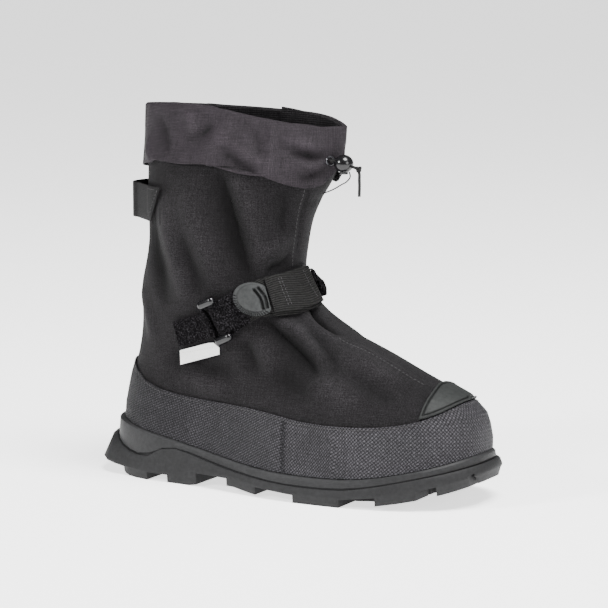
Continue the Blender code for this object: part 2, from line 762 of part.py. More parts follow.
def build_cuff(group):
    """Cuff folded down outside the collar, over its rim and a little way down inside."""
    columns = ring_columns(UPPER_COLUMNS)
    outer = []
    inner = []
    for share, side in columns:
        rim = rim_height(share, side)
        low = float(edge_height(CUFF_EDGE, share))
        outer.append([surface_point(share, side, low + (rim - low) * part)
                      for part in np.linspace(0.0, 1.0, CUFF_ROWS)])
        inner.append([surface_point(share, side, rim - CUFF_LINING * part) for part in (0.0, 1.0)])
    outer_rows = [list(row) for row in zip(*outer)]
    inner_rows = [list(row) for row in zip(*inner)]
    rows = []
    for index, row in enumerate(outer_rows):
        flare = CUFF_FLARE * (1.0 - index / (CUFF_ROWS - 1)) ** 2
        rows.append([point + normal * (CUFF_GAP + flare) for point, normal in zip(row, outward(row))])
    crest = outer_rows[-1]
    for inset in (0.0, UPPER_WALL):
        rows.append([
            point - normal * inset + Vector((0.0, 0.0, CREST_RISE))
            for point, normal in zip(crest, outward(crest))
        ])
    for row in inner_rows:
        inset = UPPER_WALL + CUFF_GAP
        rows.append([point - normal * inset for point, normal in zip(row, outward(row))])
    mesh = bmesh.new()
    add_loft(mesh, rows)
    cuff = finish_mesh("cuff", mesh, make_material("cuff_nylon"), group, closed=False)
    thicken(cuff, CUFF_WALL, 1.0)
    return cuff


def shaft_radius(angle, level):
    """Distance from the shaft's axis to the upper's surface in one direction of a slice."""
    section = section_at(level)
    low, high = 0.0, SHAFT_REACH
    for _ in range(SEARCH_STEPS):
        radius = (low + high) / 2.0
        x = SHAFT_AXIS_X + radius * math.cos(angle)
        y = -radius * math.sin(angle) - float(middle_line(x, level))
        side = MEDIAL if y > 0.0 else LATERAL
        inside = section.back < x < section.front and abs(y) < float(half_width(x, section, side))
        if inside:
            low = radius
        else:
            high = radius
    return radius


def shaft_point(angle, level, away=0.0):
    """A point over the shaft, away from its surface."""
    radius = shaft_radius(angle, level) + away
    return Vector((SHAFT_AXIS_X + radius * math.cos(angle), -radius * math.sin(angle), level))


Frame = namedtuple("Frame", "run place along across away lift")


def strap_frames():
    """Places along the strap's route with their directions, and the lift that keeps the tape clear."""
    angles = np.linspace(STRAP_ROUTE[0].angle, STRAP_ROUTE[-1].angle, ROUTE_STEPS)
    heights = smooth([-turn.angle for turn in STRAP_ROUTE], column(STRAP_ROUTE, "height"), -angles)
    places = [shaft_point(math.radians(angle), level) for angle, level in zip(angles, heights)]
    frames = []
    run = 0.0
    for index, place in enumerate(places):
        along = (places[min(index + 1, len(places) - 1)] - places[max(index - 1, 0)]).normalized()
        raised = shaft_point(math.radians(angles[index]), heights[index] + LEVEL_STEP)
        lowered = shaft_point(math.radians(angles[index]), heights[index] - LEVEL_STEP)
        away = along.cross(raised - lowered).normalized()
        across = away.cross(along).normalized()
        lift = 0.0
        for offset in np.linspace(-STRAP_HALF, STRAP_HALF, 7):
            edge = place + across * offset
            angle = math.atan2(-edge.y, edge.x - SHAFT_AXIS_X)
            reach = math.hypot(edge.x - SHAFT_AXIS_X, edge.y)
            lift = max(lift, shaft_radius(angle, edge.z) - reach)
        if index:
            run += (place - places[index - 1]).length
        frames.append(Frame(run, place, along, across, away, lift))
    return frames, angles


def frame_at(frames, run):
    """The strap's frame at a distance along its route."""
    runs = [frame.run for frame in frames]
    mixed = []
    for name in ("place", "along", "across", "away"):
        values = np.array([getattr(frame, name) for frame in frames])
        mixed.append(Vector([np.interp(run, runs, values[:, axis]) for axis in range(3)]))
    lift = float(np.interp(run, runs, [frame.lift for frame in frames]))
    place, along, across, away = mixed
    return Frame(run, place, along.normalized(), across.normalized(), away.normalized(), lift)


def over(frame, rise, across=0.0):
    """A point over the strap's route."""
    return frame.place + frame.away * (frame.lift + rise) + frame.across * across


def add_ribbon(mesh, points, across, half, thickness):
    """A flat tape along points, with its width direction at each."""
    rings = []
    for index, point in enumerate(points):
        ahead = points[min(index + 1, len(points) - 1)]
        behind = points[max(index - 1, 0)]
        wide = across[index]
        thick = (ahead - behind).cross(wide).normalized() * (thickness / 2.0)
        wide = wide * half
        rings.append([point - wide - thick, point + wide - thick, point + wide + thick, point - wide + thick])
    made = add_loft(mesh, rings)
    mesh.faces.new(made[0])
    mesh.faces.new(made[-1])


def build_tape(name, finish, group, frames, route, half):
    """A tape that follows a route of distances along the strap and rises over the upper."""
    stops = [frame_at(frames, run) for run, _ in route]
    points = [over(frame, rise) for frame, (_, rise) in zip(stops, route)]
    mesh = bmesh.new()
    add_ribbon(mesh, points, [frame.across for frame in stops], half, TAPE_WALL)
    return finish_mesh(name, mesh, make_material(finish), group)


def fold_round(centre, rise, way):
    """Route points of a tape folded round a ring's rod, towards one way along the strap."""
    radius = RING_ROD + FIT_GAP + TAPE_WALL / 2.0
    turns = np.linspace(-0.5 * math.pi, 0.5 * math.pi, 7)
    return [(centre + way * radius * math.cos(turn), rise + radius * math.sin(turn)) for turn in turns]


def build_ring(name, group, frames, run, rise):
    """Closed plastic ring, bent to the ankle, with a rod on each side of its middle."""
    corners = []
    for along_sign, across_sign, first in ((1, 1, 0.0), (-1, 1, 0.5), (-1, -1, 1.0), (1, -1, 1.5)):
        for part in (0.0, 0.25, 0.5):
            turn = (first + part) * math.pi
            along = along_sign * (RING_REACH - RING_CORNER) + RING_CORNER * math.cos(turn)
            across = across_sign * (RING_HALF - RING_CORNER) + RING_CORNER * math.sin(turn)
            corners.append(over(frame_at(frames, run + along), rise, across))
    curve = bpy.data.curves.new(name, "CURVE")
    curve.dimensions = "3D"
    curve.bevel_depth = RING_ROD
    curve.bevel_resolution = 1
    spline = curve.splines.new("POLY")
    spline.points.add(len(corners) - 1)
    for point, place in zip(spline.points, corners):
        point.co = (*place, 1.0)
    spline.use_cyclic_u = True
    curve.materials.append(make_material("ring_plastic"))
    ring = bpy.data.objects.new(name, curve)
    group.objects.link(ring)
    return ring


def tab_half(part):
    """Half height of the pull tab along its length, round at its free end."""
    round_end = math.sqrt(max(0.0, 1.0 - (1.0 - min(part / TAB_ROUND, 1.0)) ** 2))
    straight_end = 1.0 - TAB_NARROWING * max(0.0, (part - TAB_ROUND) / (1.0 - TAB_ROUND)) ** 2
    return TAB_HALF * max(round_end, TAB_NARROWING) * straight_end


def build_pull_tab(group, frames, start, end, rise):
    """D-shaped rubber tab, bent to lie over the strap."""
    rings = []
    for part in np.linspace(0.0, 1.0, TAB_STEPS):
        frame = frame_at(frames, start + (end - start) * part)
        half = tab_half(part)
        edge = half - TAB_BEVEL
        high = rise + TAB_WALL
        shoulder = high - TAB_BEVEL
        right = ((half, rise), (half, shoulder), (edge, high))
        left = [(-across, height) for across, height in reversed(right)]
        rings.append([over(frame, height, across) for across, height in (*right, *left)])
    mesh = bmesh.new()
    made = add_loft(mesh, rings)
    mesh.faces.new(made[0])
    mesh.faces.new(made[-1])
    return finish_mesh("pull_tab", mesh, make_material("tab_rubber"), group)


def build_strap_set(group):
    """Anchor, rings, strap and tab over the instep."""
    frames, angles = strap_frames()
    runs = [frame.run for frame in frames]

    def run_at(angle):
        return float(np.interp(-angle, -angles, runs))

    flat = STRAP_REST + TAPE_WALL / 2.0
    second = flat + LAYER_RISE
    third = second + LAYER_RISE
    fold = RING_ROD + FIT_GAP + TAPE_WALL / 2.0
    side_rise = flat + fold
    front_rise = second + fold
    side = run_at(SIDE_RING_ANGLE)
    front = run_at(FRONT_RING_ANGLE)
    rear_rod, fore_rod = side - RING_REACH, side + RING_REACH
    strap_rod, far_rod = front - RING_REACH, front + RING_REACH

    rear_end = run_at(ANCHOR_ANGLE)
    anchor = [(run, flat) for run in np.linspace(rear_end, rear_rod - FOLD_CLEARANCE, 6)]
    anchor += fold_round(rear_rod, side_rise, 1.0)
    anchor += [(run, second) for run in np.linspace(rear_rod - FOLD_START, rear_end + FOLD_START, 5)]
    build_tape("strap_anchor", "tape", group, frames, anchor, ANCHOR_HALF)
    build_ring("side_ring", group, frames, side, side_rise)

    tab_start, tab_end = (run_at(angle) for angle in TAB_ANGLES)
    strap = [(fore_rod + STRAP_UNDERLAP, flat), (fore_rod + FOLD_CLEARANCE, flat)]
    strap += fold_round(fore_rod, side_rise, -1.0)
    strap += [(run, second) for run in np.linspace(fore_rod + FOLD_START, strap_rod - FOLD_CLEARANCE, 18)]
    strap += fold_round(strap_rod, front_rise, 1.0)
    strap += [(run, third) for run in np.linspace(strap_rod - FOLD_START, tab_end + FIT_GAP * 2.0, 10)]
    build_tape("instep_strap", "webbing", group, frames, strap, STRAP_HALF)
    build_pull_tab(group, frames, tab_start, tab_end, second + TAPE_WALL / 2.0 + 2.0 * FIT_GAP)
    build_ring("front_ring", group, frames, front, front_rise)

    far_end = run_at(FRONT_ANCHOR_ANGLE)
    far = [(run, flat) for run in np.linspace(far_end, far_rod + FOLD_START, 11)]
    far += fold_round(far_rod, front_rise, -1.0)
    far += [(far_rod + run, third) for run in np.linspace(*FAR_OVERLAP, 4)]
    build_tape("front_anchor", "tape", group, frames, far, STRAP_HALF)


def build_pull_loop(group):
    """Tape loop sewn to both sides of the shaft's back."""
    middle = (LOOP_LOW + LOOP_HIGH) / 2.0
    rise = FIT_GAP * 3.0 + TAPE_WALL / 2.0
    foot = []
    for angle in np.radians(np.linspace(*LOOP_FOOT_ANGLES, 5)):
        radius = max(shaft_radius(angle, level) for level in (LOOP_LOW, middle, LOOP_HIGH)) + rise
        foot.append(Vector((SHAFT_AXIS_X + radius * math.cos(angle), -radius * math.sin(angle), middle)))
    back = shaft_point(math.pi, middle).x
    arc = []
    for turn in np.linspace(0.10 * math.pi, 0.5 * math.pi, 7):
        reach = LOOP_REACH * math.sin(turn) ** (2.0 / LOOP_SQUARE)
        aside = LOOP_HALF * max(math.cos(turn), 0.0) ** (2.0 / LOOP_SQUARE)
        arc.append(Vector((back - reach, -aside, middle)))
    half = foot + arc
    points = half + [Vector((point.x, -point.y, point.z)) for point in half[-2::-1]]
    mesh = bmesh.new()
    add_ribbon(mesh, points, [Vector((0.0, 0.0, 1.0))] * len(points), (LOOP_HIGH - LOOP_LOW) / 2.0, TAPE_WALL)
    return finish_mesh("pull_loop", mesh, make_material("tape"), group)


def build_side_label(group):
    """Woven label under the anchor, with one cut corner."""
    rows = []
    for part in np.linspace(0.0, 1.0, 4):
        row = []
        for share in np.linspace(0.0, 1.0, 8):
            x = LABEL_REAR_X + LABEL_LENGTH * share
            cut = max(0.0, share - 1.0 + LABEL_CORNER / LABEL_LENGTH) * LABEL_LENGTH
            level = LABEL_LOW + LABEL_SLOPE * LABEL_LENGTH * share + (LABEL_HEIGHT - cut) * part
            y = -float(half_width(x, section_at(level), LATERAL)) - 2.0 * FIT_GAP
            row.append(Vector((x, y, level)))
        rows.append(row)
    mesh = bmesh.new()
    add_loft(mesh, rows, wrap=False)
    label = finish_mesh("side_label", mesh, make_material("label_cloth"), group, closed=False)
    thicken(label, LABEL_WALL, 1.0)
    return label


def build_tube(name, finish, group, route, radius):
    """Round cord along a smooth route."""
    run = np.concatenate(([0.0], np.cumsum([(b - a).length for a, b in zip(route, route[1:])])))
    count = max(6, int(run[-1] / (5.0 * radius)))
    curve = bpy.data.curves.new(name, "CURVE")
    curve.dimensions = "3D"
    curve.bevel_depth = radius
    curve.bevel_resolution = 2
    curve.use_fill_caps = True
    spline = curve.splines.new("POLY")
    spline.points.add(count)
    for index, place in enumerate(np.linspace(0.0, run[-1], count + 1)):
        at = [float(smooth(run, [point[axis] for point in route], place)) for axis in range(3)]
        spline.points[index].co = (*at, 1.0)
    curve.materials.append(make_material(finish))
    cord = bpy.data.objects.new(name, curve)
    group.objects.link(cord)
    return cord


def build_cord_lock(group, cutter_group):
    """Ball lock with its bore and button, eyelet, knot and cords."""
    pull = (KNOT_CENTRE - LOCK_CENTRE).normalized()
    turn = pull.to_track_quat("Z", "Y").to_matrix().to_4x4()
    turn.translation = LOCK_CENTRE

    mesh = bmesh.new()
    bmesh.ops.create_cone(mesh, cap_ends=True, segments=12, radius1=LOCK_BORE, radius2=LOCK_BORE,
                          depth=4.0 * LOCK_RADIUS, matrix=turn)
    bore = make_cutter("lock_bore", mesh, cutter_group)
    mesh = bmesh.new()
    bmesh.ops.create_uvsphere(mesh, u_segments=14, v_segments=8, radius=LOCK_RADIUS, matrix=turn)
    lock = finish_mesh("cord_lock", mesh, make_material("ring_plastic"), group)
    cut = lock.modifiers.new("bore", "BOOLEAN")
    cut.operation = "DIFFERENCE"
    cut.object = bore

    button_base = LOCK_CENTRE - Vector((0.0, 0.0, LOCK_RADIUS + FIT_GAP + PLUNGER_LENGTH / 2.0))
    bpy.ops.mesh.primitive_cylinder_add(vertices=14, radius=PLUNGER_RADIUS, depth=PLUNGER_LENGTH,
                                        location=button_base)
    button = bpy.context.object
    button.name = "cord_plunger"
    button.data.materials.append(make_material("ring_plastic"))
    move_to(button, group)

    cuff_face = CUFF_GAP + CUFF_WALL + EYELET_FLARE + FIT_GAP
    eyelet_level = LOCK_CENTRE.z + EYELET_RISE
    inward_side = shaft_point(LOCK_ANGLE - EYELET_TURN, eyelet_level)
    outward_side = shaft_point(LOCK_ANGLE + EYELET_TURN, eyelet_level)
    edge = inward_side - outward_side
    facing = Vector((edge.y, -edge.x, 0.0)).normalized()
    cuff_at = shaft_point(LOCK_ANGLE, eyelet_level) + facing * cuff_face
    eyelet_at = cuff_at + facing * EYELET_ROD
    bpy.ops.mesh.primitive_torus_add(major_segments=14, minor_segments=5, major_radius=EYELET_RADIUS,
                                     minor_radius=EYELET_ROD, location=eyelet_at,
                                     rotation=facing.to_track_quat("Z", "Y").to_euler())
    eyelet = bpy.context.object
    eyelet.name = "cord_eyelet"
    eyelet.data.materials.append(make_material("eyelet_metal"))
    move_to(eyelet, group)

    bpy.ops.mesh.primitive_uv_sphere_add(segments=12, ring_count=8, radius=KNOT_RADIUS, location=KNOT_CENTRE)
    knot = bpy.context.object
    knot.name = "drawcord_knot"
    knot.data.materials.append(make_material("cord"))
    move_to(knot, group)
    lead_start = cuff_at + facing * FIT_GAP
    lead_end = KNOT_CENTRE - pull * (KNOT_RADIUS + FIT_GAP)
    reach = pull * LOCK_RADIUS
    straight_end = lead_start + facing * LEAD_STRAIGHT
    lead = [lead_start, straight_end, LOCK_CENTRE - reach, LOCK_CENTRE, LOCK_CENTRE + reach, lead_end]
    build_tube("drawcord_lead", "cord", group, lead, CORD_RADIUS)
    build_tube("drawcord_tail", "cord", group, TAIL_ROUTE, CORD_RADIUS)
    build_tube("drawcord_strand", "cord", group, STRAND_ROUTE, STRAND_RADIUS)


def move_to(part, group):
    """Move a new primitive into a collection."""
    for owner in list(part.users_collection):
        owner.objects.unlink(part)
    group.objects.link(part)


def build():
    """Clear the scene and make the overshoe."""
    for old in list(bpy.data.objects):
        bpy.data.objects.remove(old, do_unlink=True)
    group = make_collection("overshoe")
    cutter_group = make_collection("cutters")
    rows = upper_rows()
    build_outsole(group, cutter_group)
    build_midsole(group)
    build_insole(group)
    build_upper(group, rows)
    build_foot_panel(group, rows)
    build_toe_patch(group)
    build_cuff(group)
    build_pull_loop(group)
    build_strap_set(group)
    build_side_label(group)
    build_cord_lock(group, cutter_group)


build()
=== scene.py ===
"""Looks of a pull-on overshoe for the right foot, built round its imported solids. Metres.

+X runs from heel to toe, -Y is the outer side of the shoe and +Z is up.
"""
import math
from collections import namedtuple

import bpy
import numpy as np
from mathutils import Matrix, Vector
from mathutils.bvhtree import BVHTree


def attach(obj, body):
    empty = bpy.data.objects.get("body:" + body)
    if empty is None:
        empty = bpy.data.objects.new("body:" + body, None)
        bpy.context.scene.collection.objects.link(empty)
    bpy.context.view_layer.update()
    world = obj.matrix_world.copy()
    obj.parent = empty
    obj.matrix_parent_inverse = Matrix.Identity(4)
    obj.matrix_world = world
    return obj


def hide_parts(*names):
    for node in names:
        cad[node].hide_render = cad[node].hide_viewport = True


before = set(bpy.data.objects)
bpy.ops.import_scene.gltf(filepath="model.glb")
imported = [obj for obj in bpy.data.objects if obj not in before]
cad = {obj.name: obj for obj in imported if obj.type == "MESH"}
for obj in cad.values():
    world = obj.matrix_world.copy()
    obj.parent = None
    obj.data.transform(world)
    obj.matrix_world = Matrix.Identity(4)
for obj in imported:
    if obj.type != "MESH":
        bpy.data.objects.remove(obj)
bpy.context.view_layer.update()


# Studio: a wide pale floor with a soft light overhead, a smaller key from the heel side that draws the
# folds, and a weak one at the toe.
# The camera stands off the outer side of the toe, a little above the shoe.
VIEW_AZIMUTH = math.radians(29.0)
VIEW_ELEVATION = math.radians(8.6)
VIEW_DISTANCE = 2.0
VIEW_TARGET = Vector((0.1213, 0.0, 0.14))
VIEW_LENS = 155.1
FLOOR_SIZE = 60.0
FLOOR_COLOUR = (0.92, 0.92, 0.92, 1.0)
FLOOR_GLOW = 1.7
SKY_COLOUR = (1.0, 1.0, 1.0, 1.0)
SKY_STRENGTH = 0.25
Lamp = namedtuple("Lamp", "name place size power")
LAMPS = [
    Lamp("key_light", Vector((-1.2, -1.8, 1.3)), 0.5, 64.0),
    Lamp("top_light", Vector((0.9, -0.3, 2.2)), 1.1, 135.0),
    Lamp("toe_light", Vector((2.1, -0.6, 0.9)), 0.8, 23.0),
]


def aimed(place):
    """Turn that points a camera or a lamp at the middle of the shoe."""
    return (place - VIEW_TARGET).to_track_quat("Z", "Y").to_euler()


def set_shader(material, values):
    """Set plain values on a material's shader."""
    for name, value in values.items():
        material.node_tree.nodes["Principled BSDF"].inputs[name].default_value = value


view_back = Vector((
    math.sin(VIEW_AZIMUTH) * math.cos(VIEW_ELEVATION),
    -math.cos(VIEW_AZIMUTH) * math.cos(VIEW_ELEVATION),
    math.sin(VIEW_ELEVATION),
))
camera_place = VIEW_TARGET + view_back * VIEW_DISTANCE
bpy.ops.object.camera_add(location=camera_place, rotation=aimed(camera_place))
camera = bpy.context.object
camera.data.lens = VIEW_LENS
bpy.context.scene.camera = camera
for lamp in LAMPS:
    bpy.ops.object.light_add(type="AREA", location=lamp.place, rotation=aimed(lamp.place))
    light = bpy.context.object
    light.name = lamp.name
    light.data.size = lamp.size
    light.data.energy = lamp.power
world = bpy.data.worlds.new("studio")
world.use_nodes = True
sky = world.node_tree.nodes["Background"].inputs
sky["Color"].default_value = SKY_COLOUR
sky["Strength"].default_value = SKY_STRENGTH
bpy.context.scene.world = world
bpy.ops.mesh.primitive_plane_add(size=FLOOR_SIZE)
floor = bpy.context.object
floor.name = "floor"
paper = bpy.data.materials.new("floor_paper")
paper.use_nodes = True
set_shader(paper, {
    "Base Color": FLOOR_COLOUR, "Roughness": 0.9,
    "Emission Color": FLOOR_COLOUR, "Emission Strength": FLOOR_GLOW})
floor.data.materials.append(paper)


# Outsole: one moulding of matte charcoal rubber with a heel block, arch, toe spring and square lugs.
# It is bonded under the rand, and fine sipes are moulded across the faces of the lugs, with painted shade in
# their cuts.
SOLE_COLOUR = (0.0138, 0.0138, 0.0143, 1.0)
SIPE_SHADE_COLOUR = (0.007, 0.007, 0.0075, 1.0)
SIPE_PITCH = 0.0048
SIPE_SLANT = 0.45
SIPE_DEPTH = 0.0006
SIPE_SHARPNESS = 5.0
SOLE_BEVEL = 0.0005
SOLE_GRAIN = 0.0009
TREAD_DEPTH = 0.002
TREAD_FACING = -0.8
RUBBER_SPECULAR = 0.14
RUBBER_RELIEF = 0.00014
GROOVE_SHADE = 0.8
MOTTLE_LEAST = 0.15
Rise = namedtuple("Rise", "x height")
LUG_FACES = [
    Rise(-0.034, 0.0), Rise(0.048, 0.0), Rise(0.063, 0.003), Rise(0.084, 0.0052), Rise(0.112, 0.0018),
    Rise(0.132, 0.0), Rise(0.188, 0.0), Rise(0.209, 0.003), Rise(0.232, 0.0072), Rise(0.254, 0.013),
    Rise(0.268, 0.0182), Rise(0.28, 0.024),
]
MERGE_DISTANCE = 1e-6
QUAD_ANGLE = math.radians(60.0)
CREASE_ANGLE = math.radians(45.0)


def only(piece):
    """Select one object and make it active."""
    bpy.ops.object.select_all(action="DESELECT")
    piece.select_set(True)
    bpy.context.view_layer.objects.active = piece


def solid_copy(node, name):
    """A copy of a CAD solid to be worked on, with its loose triangles joined into quads."""
    piece = bpy.data.objects.new(name, cad[node].data.copy())
    bpy.context.collection.objects.link(piece)
    piece.data.materials.clear()
    only(piece)
    bpy.ops.mesh.customdata_custom_splitnormals_clear()
    bpy.ops.object.mode_set(mode="EDIT")
    bpy.ops.mesh.select_all(action="SELECT")
    bpy.ops.mesh.remove_doubles(threshold=MERGE_DISTANCE)
    bpy.ops.mesh.tris_convert_to_quads(face_threshold=QUAD_ANGLE, shape_threshold=math.pi)
    bpy.ops.object.mode_set(mode="OBJECT")
    return piece


def apply_modifier(piece, kind, **settings):
    """Add a modifier with its settings and apply it."""
    only(piece)
    modifier = piece.modifiers.new(kind.lower(), kind)
    for name, value in settings.items():
        setattr(modifier, name, value)
    bpy.ops.object.modifier_apply(modifier=modifier.name)


def round_edges(piece, width, angle):
    """Round the edges of a piece that are sharper than an angle in degrees."""
    limit = math.radians(angle)
    apply_modifier(piece, "BEVEL", width=width, segments=2, limit_method="ANGLE", angle_limit=limit)


def smooth_copy(node, name, levels=2, crease=0.9):
    """A copy of a soft CAD solid, subdivided, with its cut edges kept."""
    piece = solid_copy(node, name)
    bpy.ops.object.mode_set(mode="EDIT")
    bpy.ops.mesh.select_all(action="DESELECT")
    bpy.ops.mesh.edges_select_sharp(sharpness=CREASE_ANGLE)
    bpy.ops.transform.edge_crease(value=crease)
    bpy.ops.object.mode_set(mode="OBJECT")
    apply_modifier(piece, "SUBSURF", levels=levels, render_levels=levels)
    return piece


def face_values(piece, name):
    """Centres or normals of a mesh's faces."""
    values = np.empty(len(piece.data.polygons) * 3)
    piece.data.polygons.foreach_get(name, values)
    return values.reshape(-1, 3)


def shader_node(tree, kind, inputs=(), **settings):
    """A shader node with its settings, and with values or links on its inputs."""
    made = tree.nodes.new(kind)
    for name, value in settings.items():
        setattr(made, name, value)
    for name, value in dict(inputs).items():
        if isinstance(value, bpy.types.NodeSocket):
            tree.links.new(value, made.inputs[name])
        else:
            made.inputs[name].default_value = value
    return made


def calculate(tree, operation, first, second=0.0, third=0.0):
    """One step of arithmetic between sockets or numbers."""
    made = shader_node(tree, "ShaderNodeMath", {0: first, 1: second, 2: third}, operation=operation)
    return made.outputs[0]


def scaled(tree, value, gain):
    """A colour or a place times a number."""
    made = shader_node(tree, "ShaderNodeVectorMath", {0: value, "Scale": gain}, operation="SCALE")
    return made.outputs[0]


def ribs(tree, along, pitch=1.0):
    """A row of rounded ribs along a coordinate, from 0 between them to 1 on their crowns."""
    wave = calculate(tree, "SINE", calculate(tree, "MULTIPLY", along, math.pi / pitch))
    return calculate(tree, "ABSOLUTE", wave)


def blend_colours(tree, factor, first, second):
    """A colour between two others."""
    made = shader_node(tree, "ShaderNodeMix", {0: factor, 6: first, 7: second}, data_type="RGBA")
    return made.outputs[2]


def shader_group(name, inputs, outputs):
    """An empty node group with its sockets. Returns the group with its input and output nodes."""
    group = bpy.data.node_groups.new(name, "ShaderNodeTree")
    for socket, kind, value in inputs:
        made = group.interface.new_socket(socket, in_out="INPUT", socket_type=kind)
        if value is not None:
            made.default_value = value
    for socket, kind in outputs:
        group.interface.new_socket(socket, in_out="OUTPUT", socket_type=kind)
    return group, group.nodes.new("NodeGroupInput"), group.nodes.new("NodeGroupOutput")


FLOAT = "NodeSocketFloat"
COLOUR = "NodeSocketColor"
VECTOR = "NodeSocketVector"
mottle, mottle_in, mottle_out = shader_group(
    "mottle",
    [("Vector", VECTOR, None), ("Colour", COLOUR, None), ("Size", FLOAT, 0.02), ("Amount", FLOAT, 0.2)],
    [("Colour", COLOUR), ("Value", FLOAT)],
)
mottle_scale = calculate(mottle, "DIVIDE", 1.0, mottle_in.outputs["Size"])
mottle_noise = shader_node(mottle, "ShaderNodeTexNoise", {
    "Vector": mottle_in.outputs["Vector"], "Scale": mottle_scale, "Detail": 5.0, "Roughness": 0.6})
mottle_swing = calculate(mottle, "MULTIPLY_ADD", mottle_noise.outputs["Fac"], 2.0, -1.0)
mottle_gain = calculate(mottle, "MULTIPLY_ADD", mottle_swing, mottle_in.outputs["Amount"], 1.0)
mottle_safe = calculate(mottle, "MAXIMUM", mottle_gain, MOTTLE_LEAST)
mottle_tone = scaled(mottle, mottle_in.outputs["Colour"], mottle_safe)
mottle.links.new(mottle_tone, mottle_out.inputs["Colour"])
mottle.links.new(mottle_noise.outputs["Fac"], mottle_out.inputs["Value"])


def new_material(name, roughness, specular):
    """A Principled material. Returns it with its tree, its shader and its Object coordinates."""
    material = bpy.data.materials.new(name)
    material.use_nodes = True
    set_shader(material, {"Roughness": roughness, "Specular IOR Level": specular})
    tree = material.node_tree
    place = tree.nodes.new("ShaderNodeTexCoord").outputs["Object"]
    return material, tree, tree.nodes["Principled BSDF"], place


def use_group(tree, group, inputs):
    """A node group placed in a material."""
    return shader_node(tree, "ShaderNodeGroup", inputs, node_tree=group).outputs


def mottled(tree, place, colour, size, amount):
    """A colour made uneven in soft spots of a size. Its outputs are the colour and the spots."""
    return use_group(tree, mottle, {"Vector": place, "Colour": colour, "Size": size, "Amount": amount})


def finish_surface(tree, shader, colour, height, distance):
    """A colour for the shader, and relief from a height times a distance in metres."""
    tree.links.new(colour, shader.inputs["Base Color"])
    bump = shader_node(tree, "ShaderNodeBump", {"Height": height, "Distance": distance})
    tree.links.new(bump.outputs["Normal"], shader.inputs["Normal"])


def rubber_tone(tree, place, colour, grain):
    """Colour and relief of moulded rubber: a slight bloom, fine grain and scuffs."""
    bloom = mottled(tree, place, colour, size=0.022, amount=0.35)
    scuff = mottled(tree, place, bloom["Colour"], size=0.0028, amount=0.55)
    fine = shader_node(tree, "ShaderNodeTexNoise", {"Vector": place, "Scale": 1.0 / grain, "Detail": 3.0})
    return scuff["Colour"], fine.outputs["Fac"]


def rubber_material(name, colour, roughness, grain):
    """Moulded rubber. A groove mark on the mesh paints shade into what is moulded in."""
    material, tree, shader, place = new_material(name, roughness, RUBBER_SPECULAR)
    tone, fine = rubber_tone(tree, place, colour, grain)
    groove = shader_node(tree, "ShaderNodeAttribute", attribute_name="groove").outputs["Fac"]
    shade = calculate(tree, "MULTIPLY_ADD", groove, -GROOVE_SHADE, 1.0)
    finish_surface(tree, shader, scaled(tree, tone, shade), fine, RUBBER_RELIEF)
    return material


def use_second_material(piece, wanted):
    """Give the marked faces of a piece its second material."""
    piece.data.polygons.foreach_set("material_index", wanted.astype(np.int32))


def dress(piece, material, slot, *replaced):
    """Finish a piece: material, smooth faces, the body it rides on and the solids it stands for."""
    if material:
        piece.data.materials.append(material)
    only(piece)
    bpy.ops.object.shade_smooth_by_angle(angle=CREASE_ANGLE)
    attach(piece, "root")
    if replaced:
        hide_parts(*replaced)


outsole = solid_copy("outsole", "outsole_moulding")
round_edges(outsole, SOLE_BEVEL, angle=38.0)
tread, tread_tree, tread_shader, tread_place = new_material(
    "sole_tread_sipes", roughness=0.7, specular=RUBBER_SPECULAR)
tread_tone, _ = rubber_tone(tread_tree, tread_place, SOLE_COLOUR, SOLE_GRAIN)
tread_axes = shader_node(tread_tree, "ShaderNodeSeparateXYZ", {0: tread_place}).outputs
tread_side = calculate(tread_tree, "ABSOLUTE", tread_axes[1])
tread_run = calculate(tread_tree, "MULTIPLY_ADD", tread_side, SIPE_SLANT, tread_axes[0])
tread_between = calculate(tread_tree, "SUBTRACT", 1.0, ribs(tread_tree, tread_run, SIPE_PITCH))
tread_sipe = calculate(tread_tree, "POWER", tread_between, SIPE_SHARPNESS)
# Painted shade in the sipe cuts.
tread_shade = blend_colours(tread_tree, tread_sipe, tread_tone, SIPE_SHADE_COLOUR)
tread_cut = calculate(tread_tree, "MULTIPLY", tread_sipe, -1.0)
finish_surface(tread_tree, tread_shader, tread_shade, tread_cut, SIPE_DEPTH)
sole_rubber = rubber_material("sole_rubber_moulded", SOLE_COLOUR, roughness=0.62, grain=SOLE_GRAIN)
outsole.data.materials.append(sole_rubber)
outsole.data.materials.append(tread)
sole_centres = face_values(outsole, "center")
lug_face = np.interp(sole_centres[:, 0], *zip(*LUG_FACES)) + TREAD_DEPTH
on_lug = (sole_centres[:, 2] < lug_face) & (face_values(outsole, "normal")[:, 2] < TREAD_FACING)
use_second_material(outsole, on_lug)
dress(outsole, None, "sole_rubber", "outsole")


# Rand: a softer charcoal rubber band moulded round the lower edge of the upper, with a rounded top.
# It is cemented to the upper and to the outsole; a dark bead in the joint is painted shade for the gap there.
RAND_COLOUR = (0.0168, 0.0168, 0.0174, 1.0)
JOINT_SHADE_COLOUR = (0.0035, 0.0035, 0.0038, 1.0)
RAND_BEVEL = 0.0007
RAND_GRAIN = 0.0007
RAND_UNDERSIDE = -0.6
JOINT_SHADE_BEAD = 0.0007


def select_faces(piece, wanted):
    """Select the marked faces of a mesh, and nothing else."""
    only(piece)
    bpy.ops.object.mode_set(mode="EDIT")
    bpy.ops.mesh.select_mode(type="FACE")
    bpy.ops.mesh.select_all(action="DESELECT")
    bpy.ops.object.mode_set(mode="OBJECT")
    piece.data.polygons.foreach_set("select", np.asarray(wanted, bool))


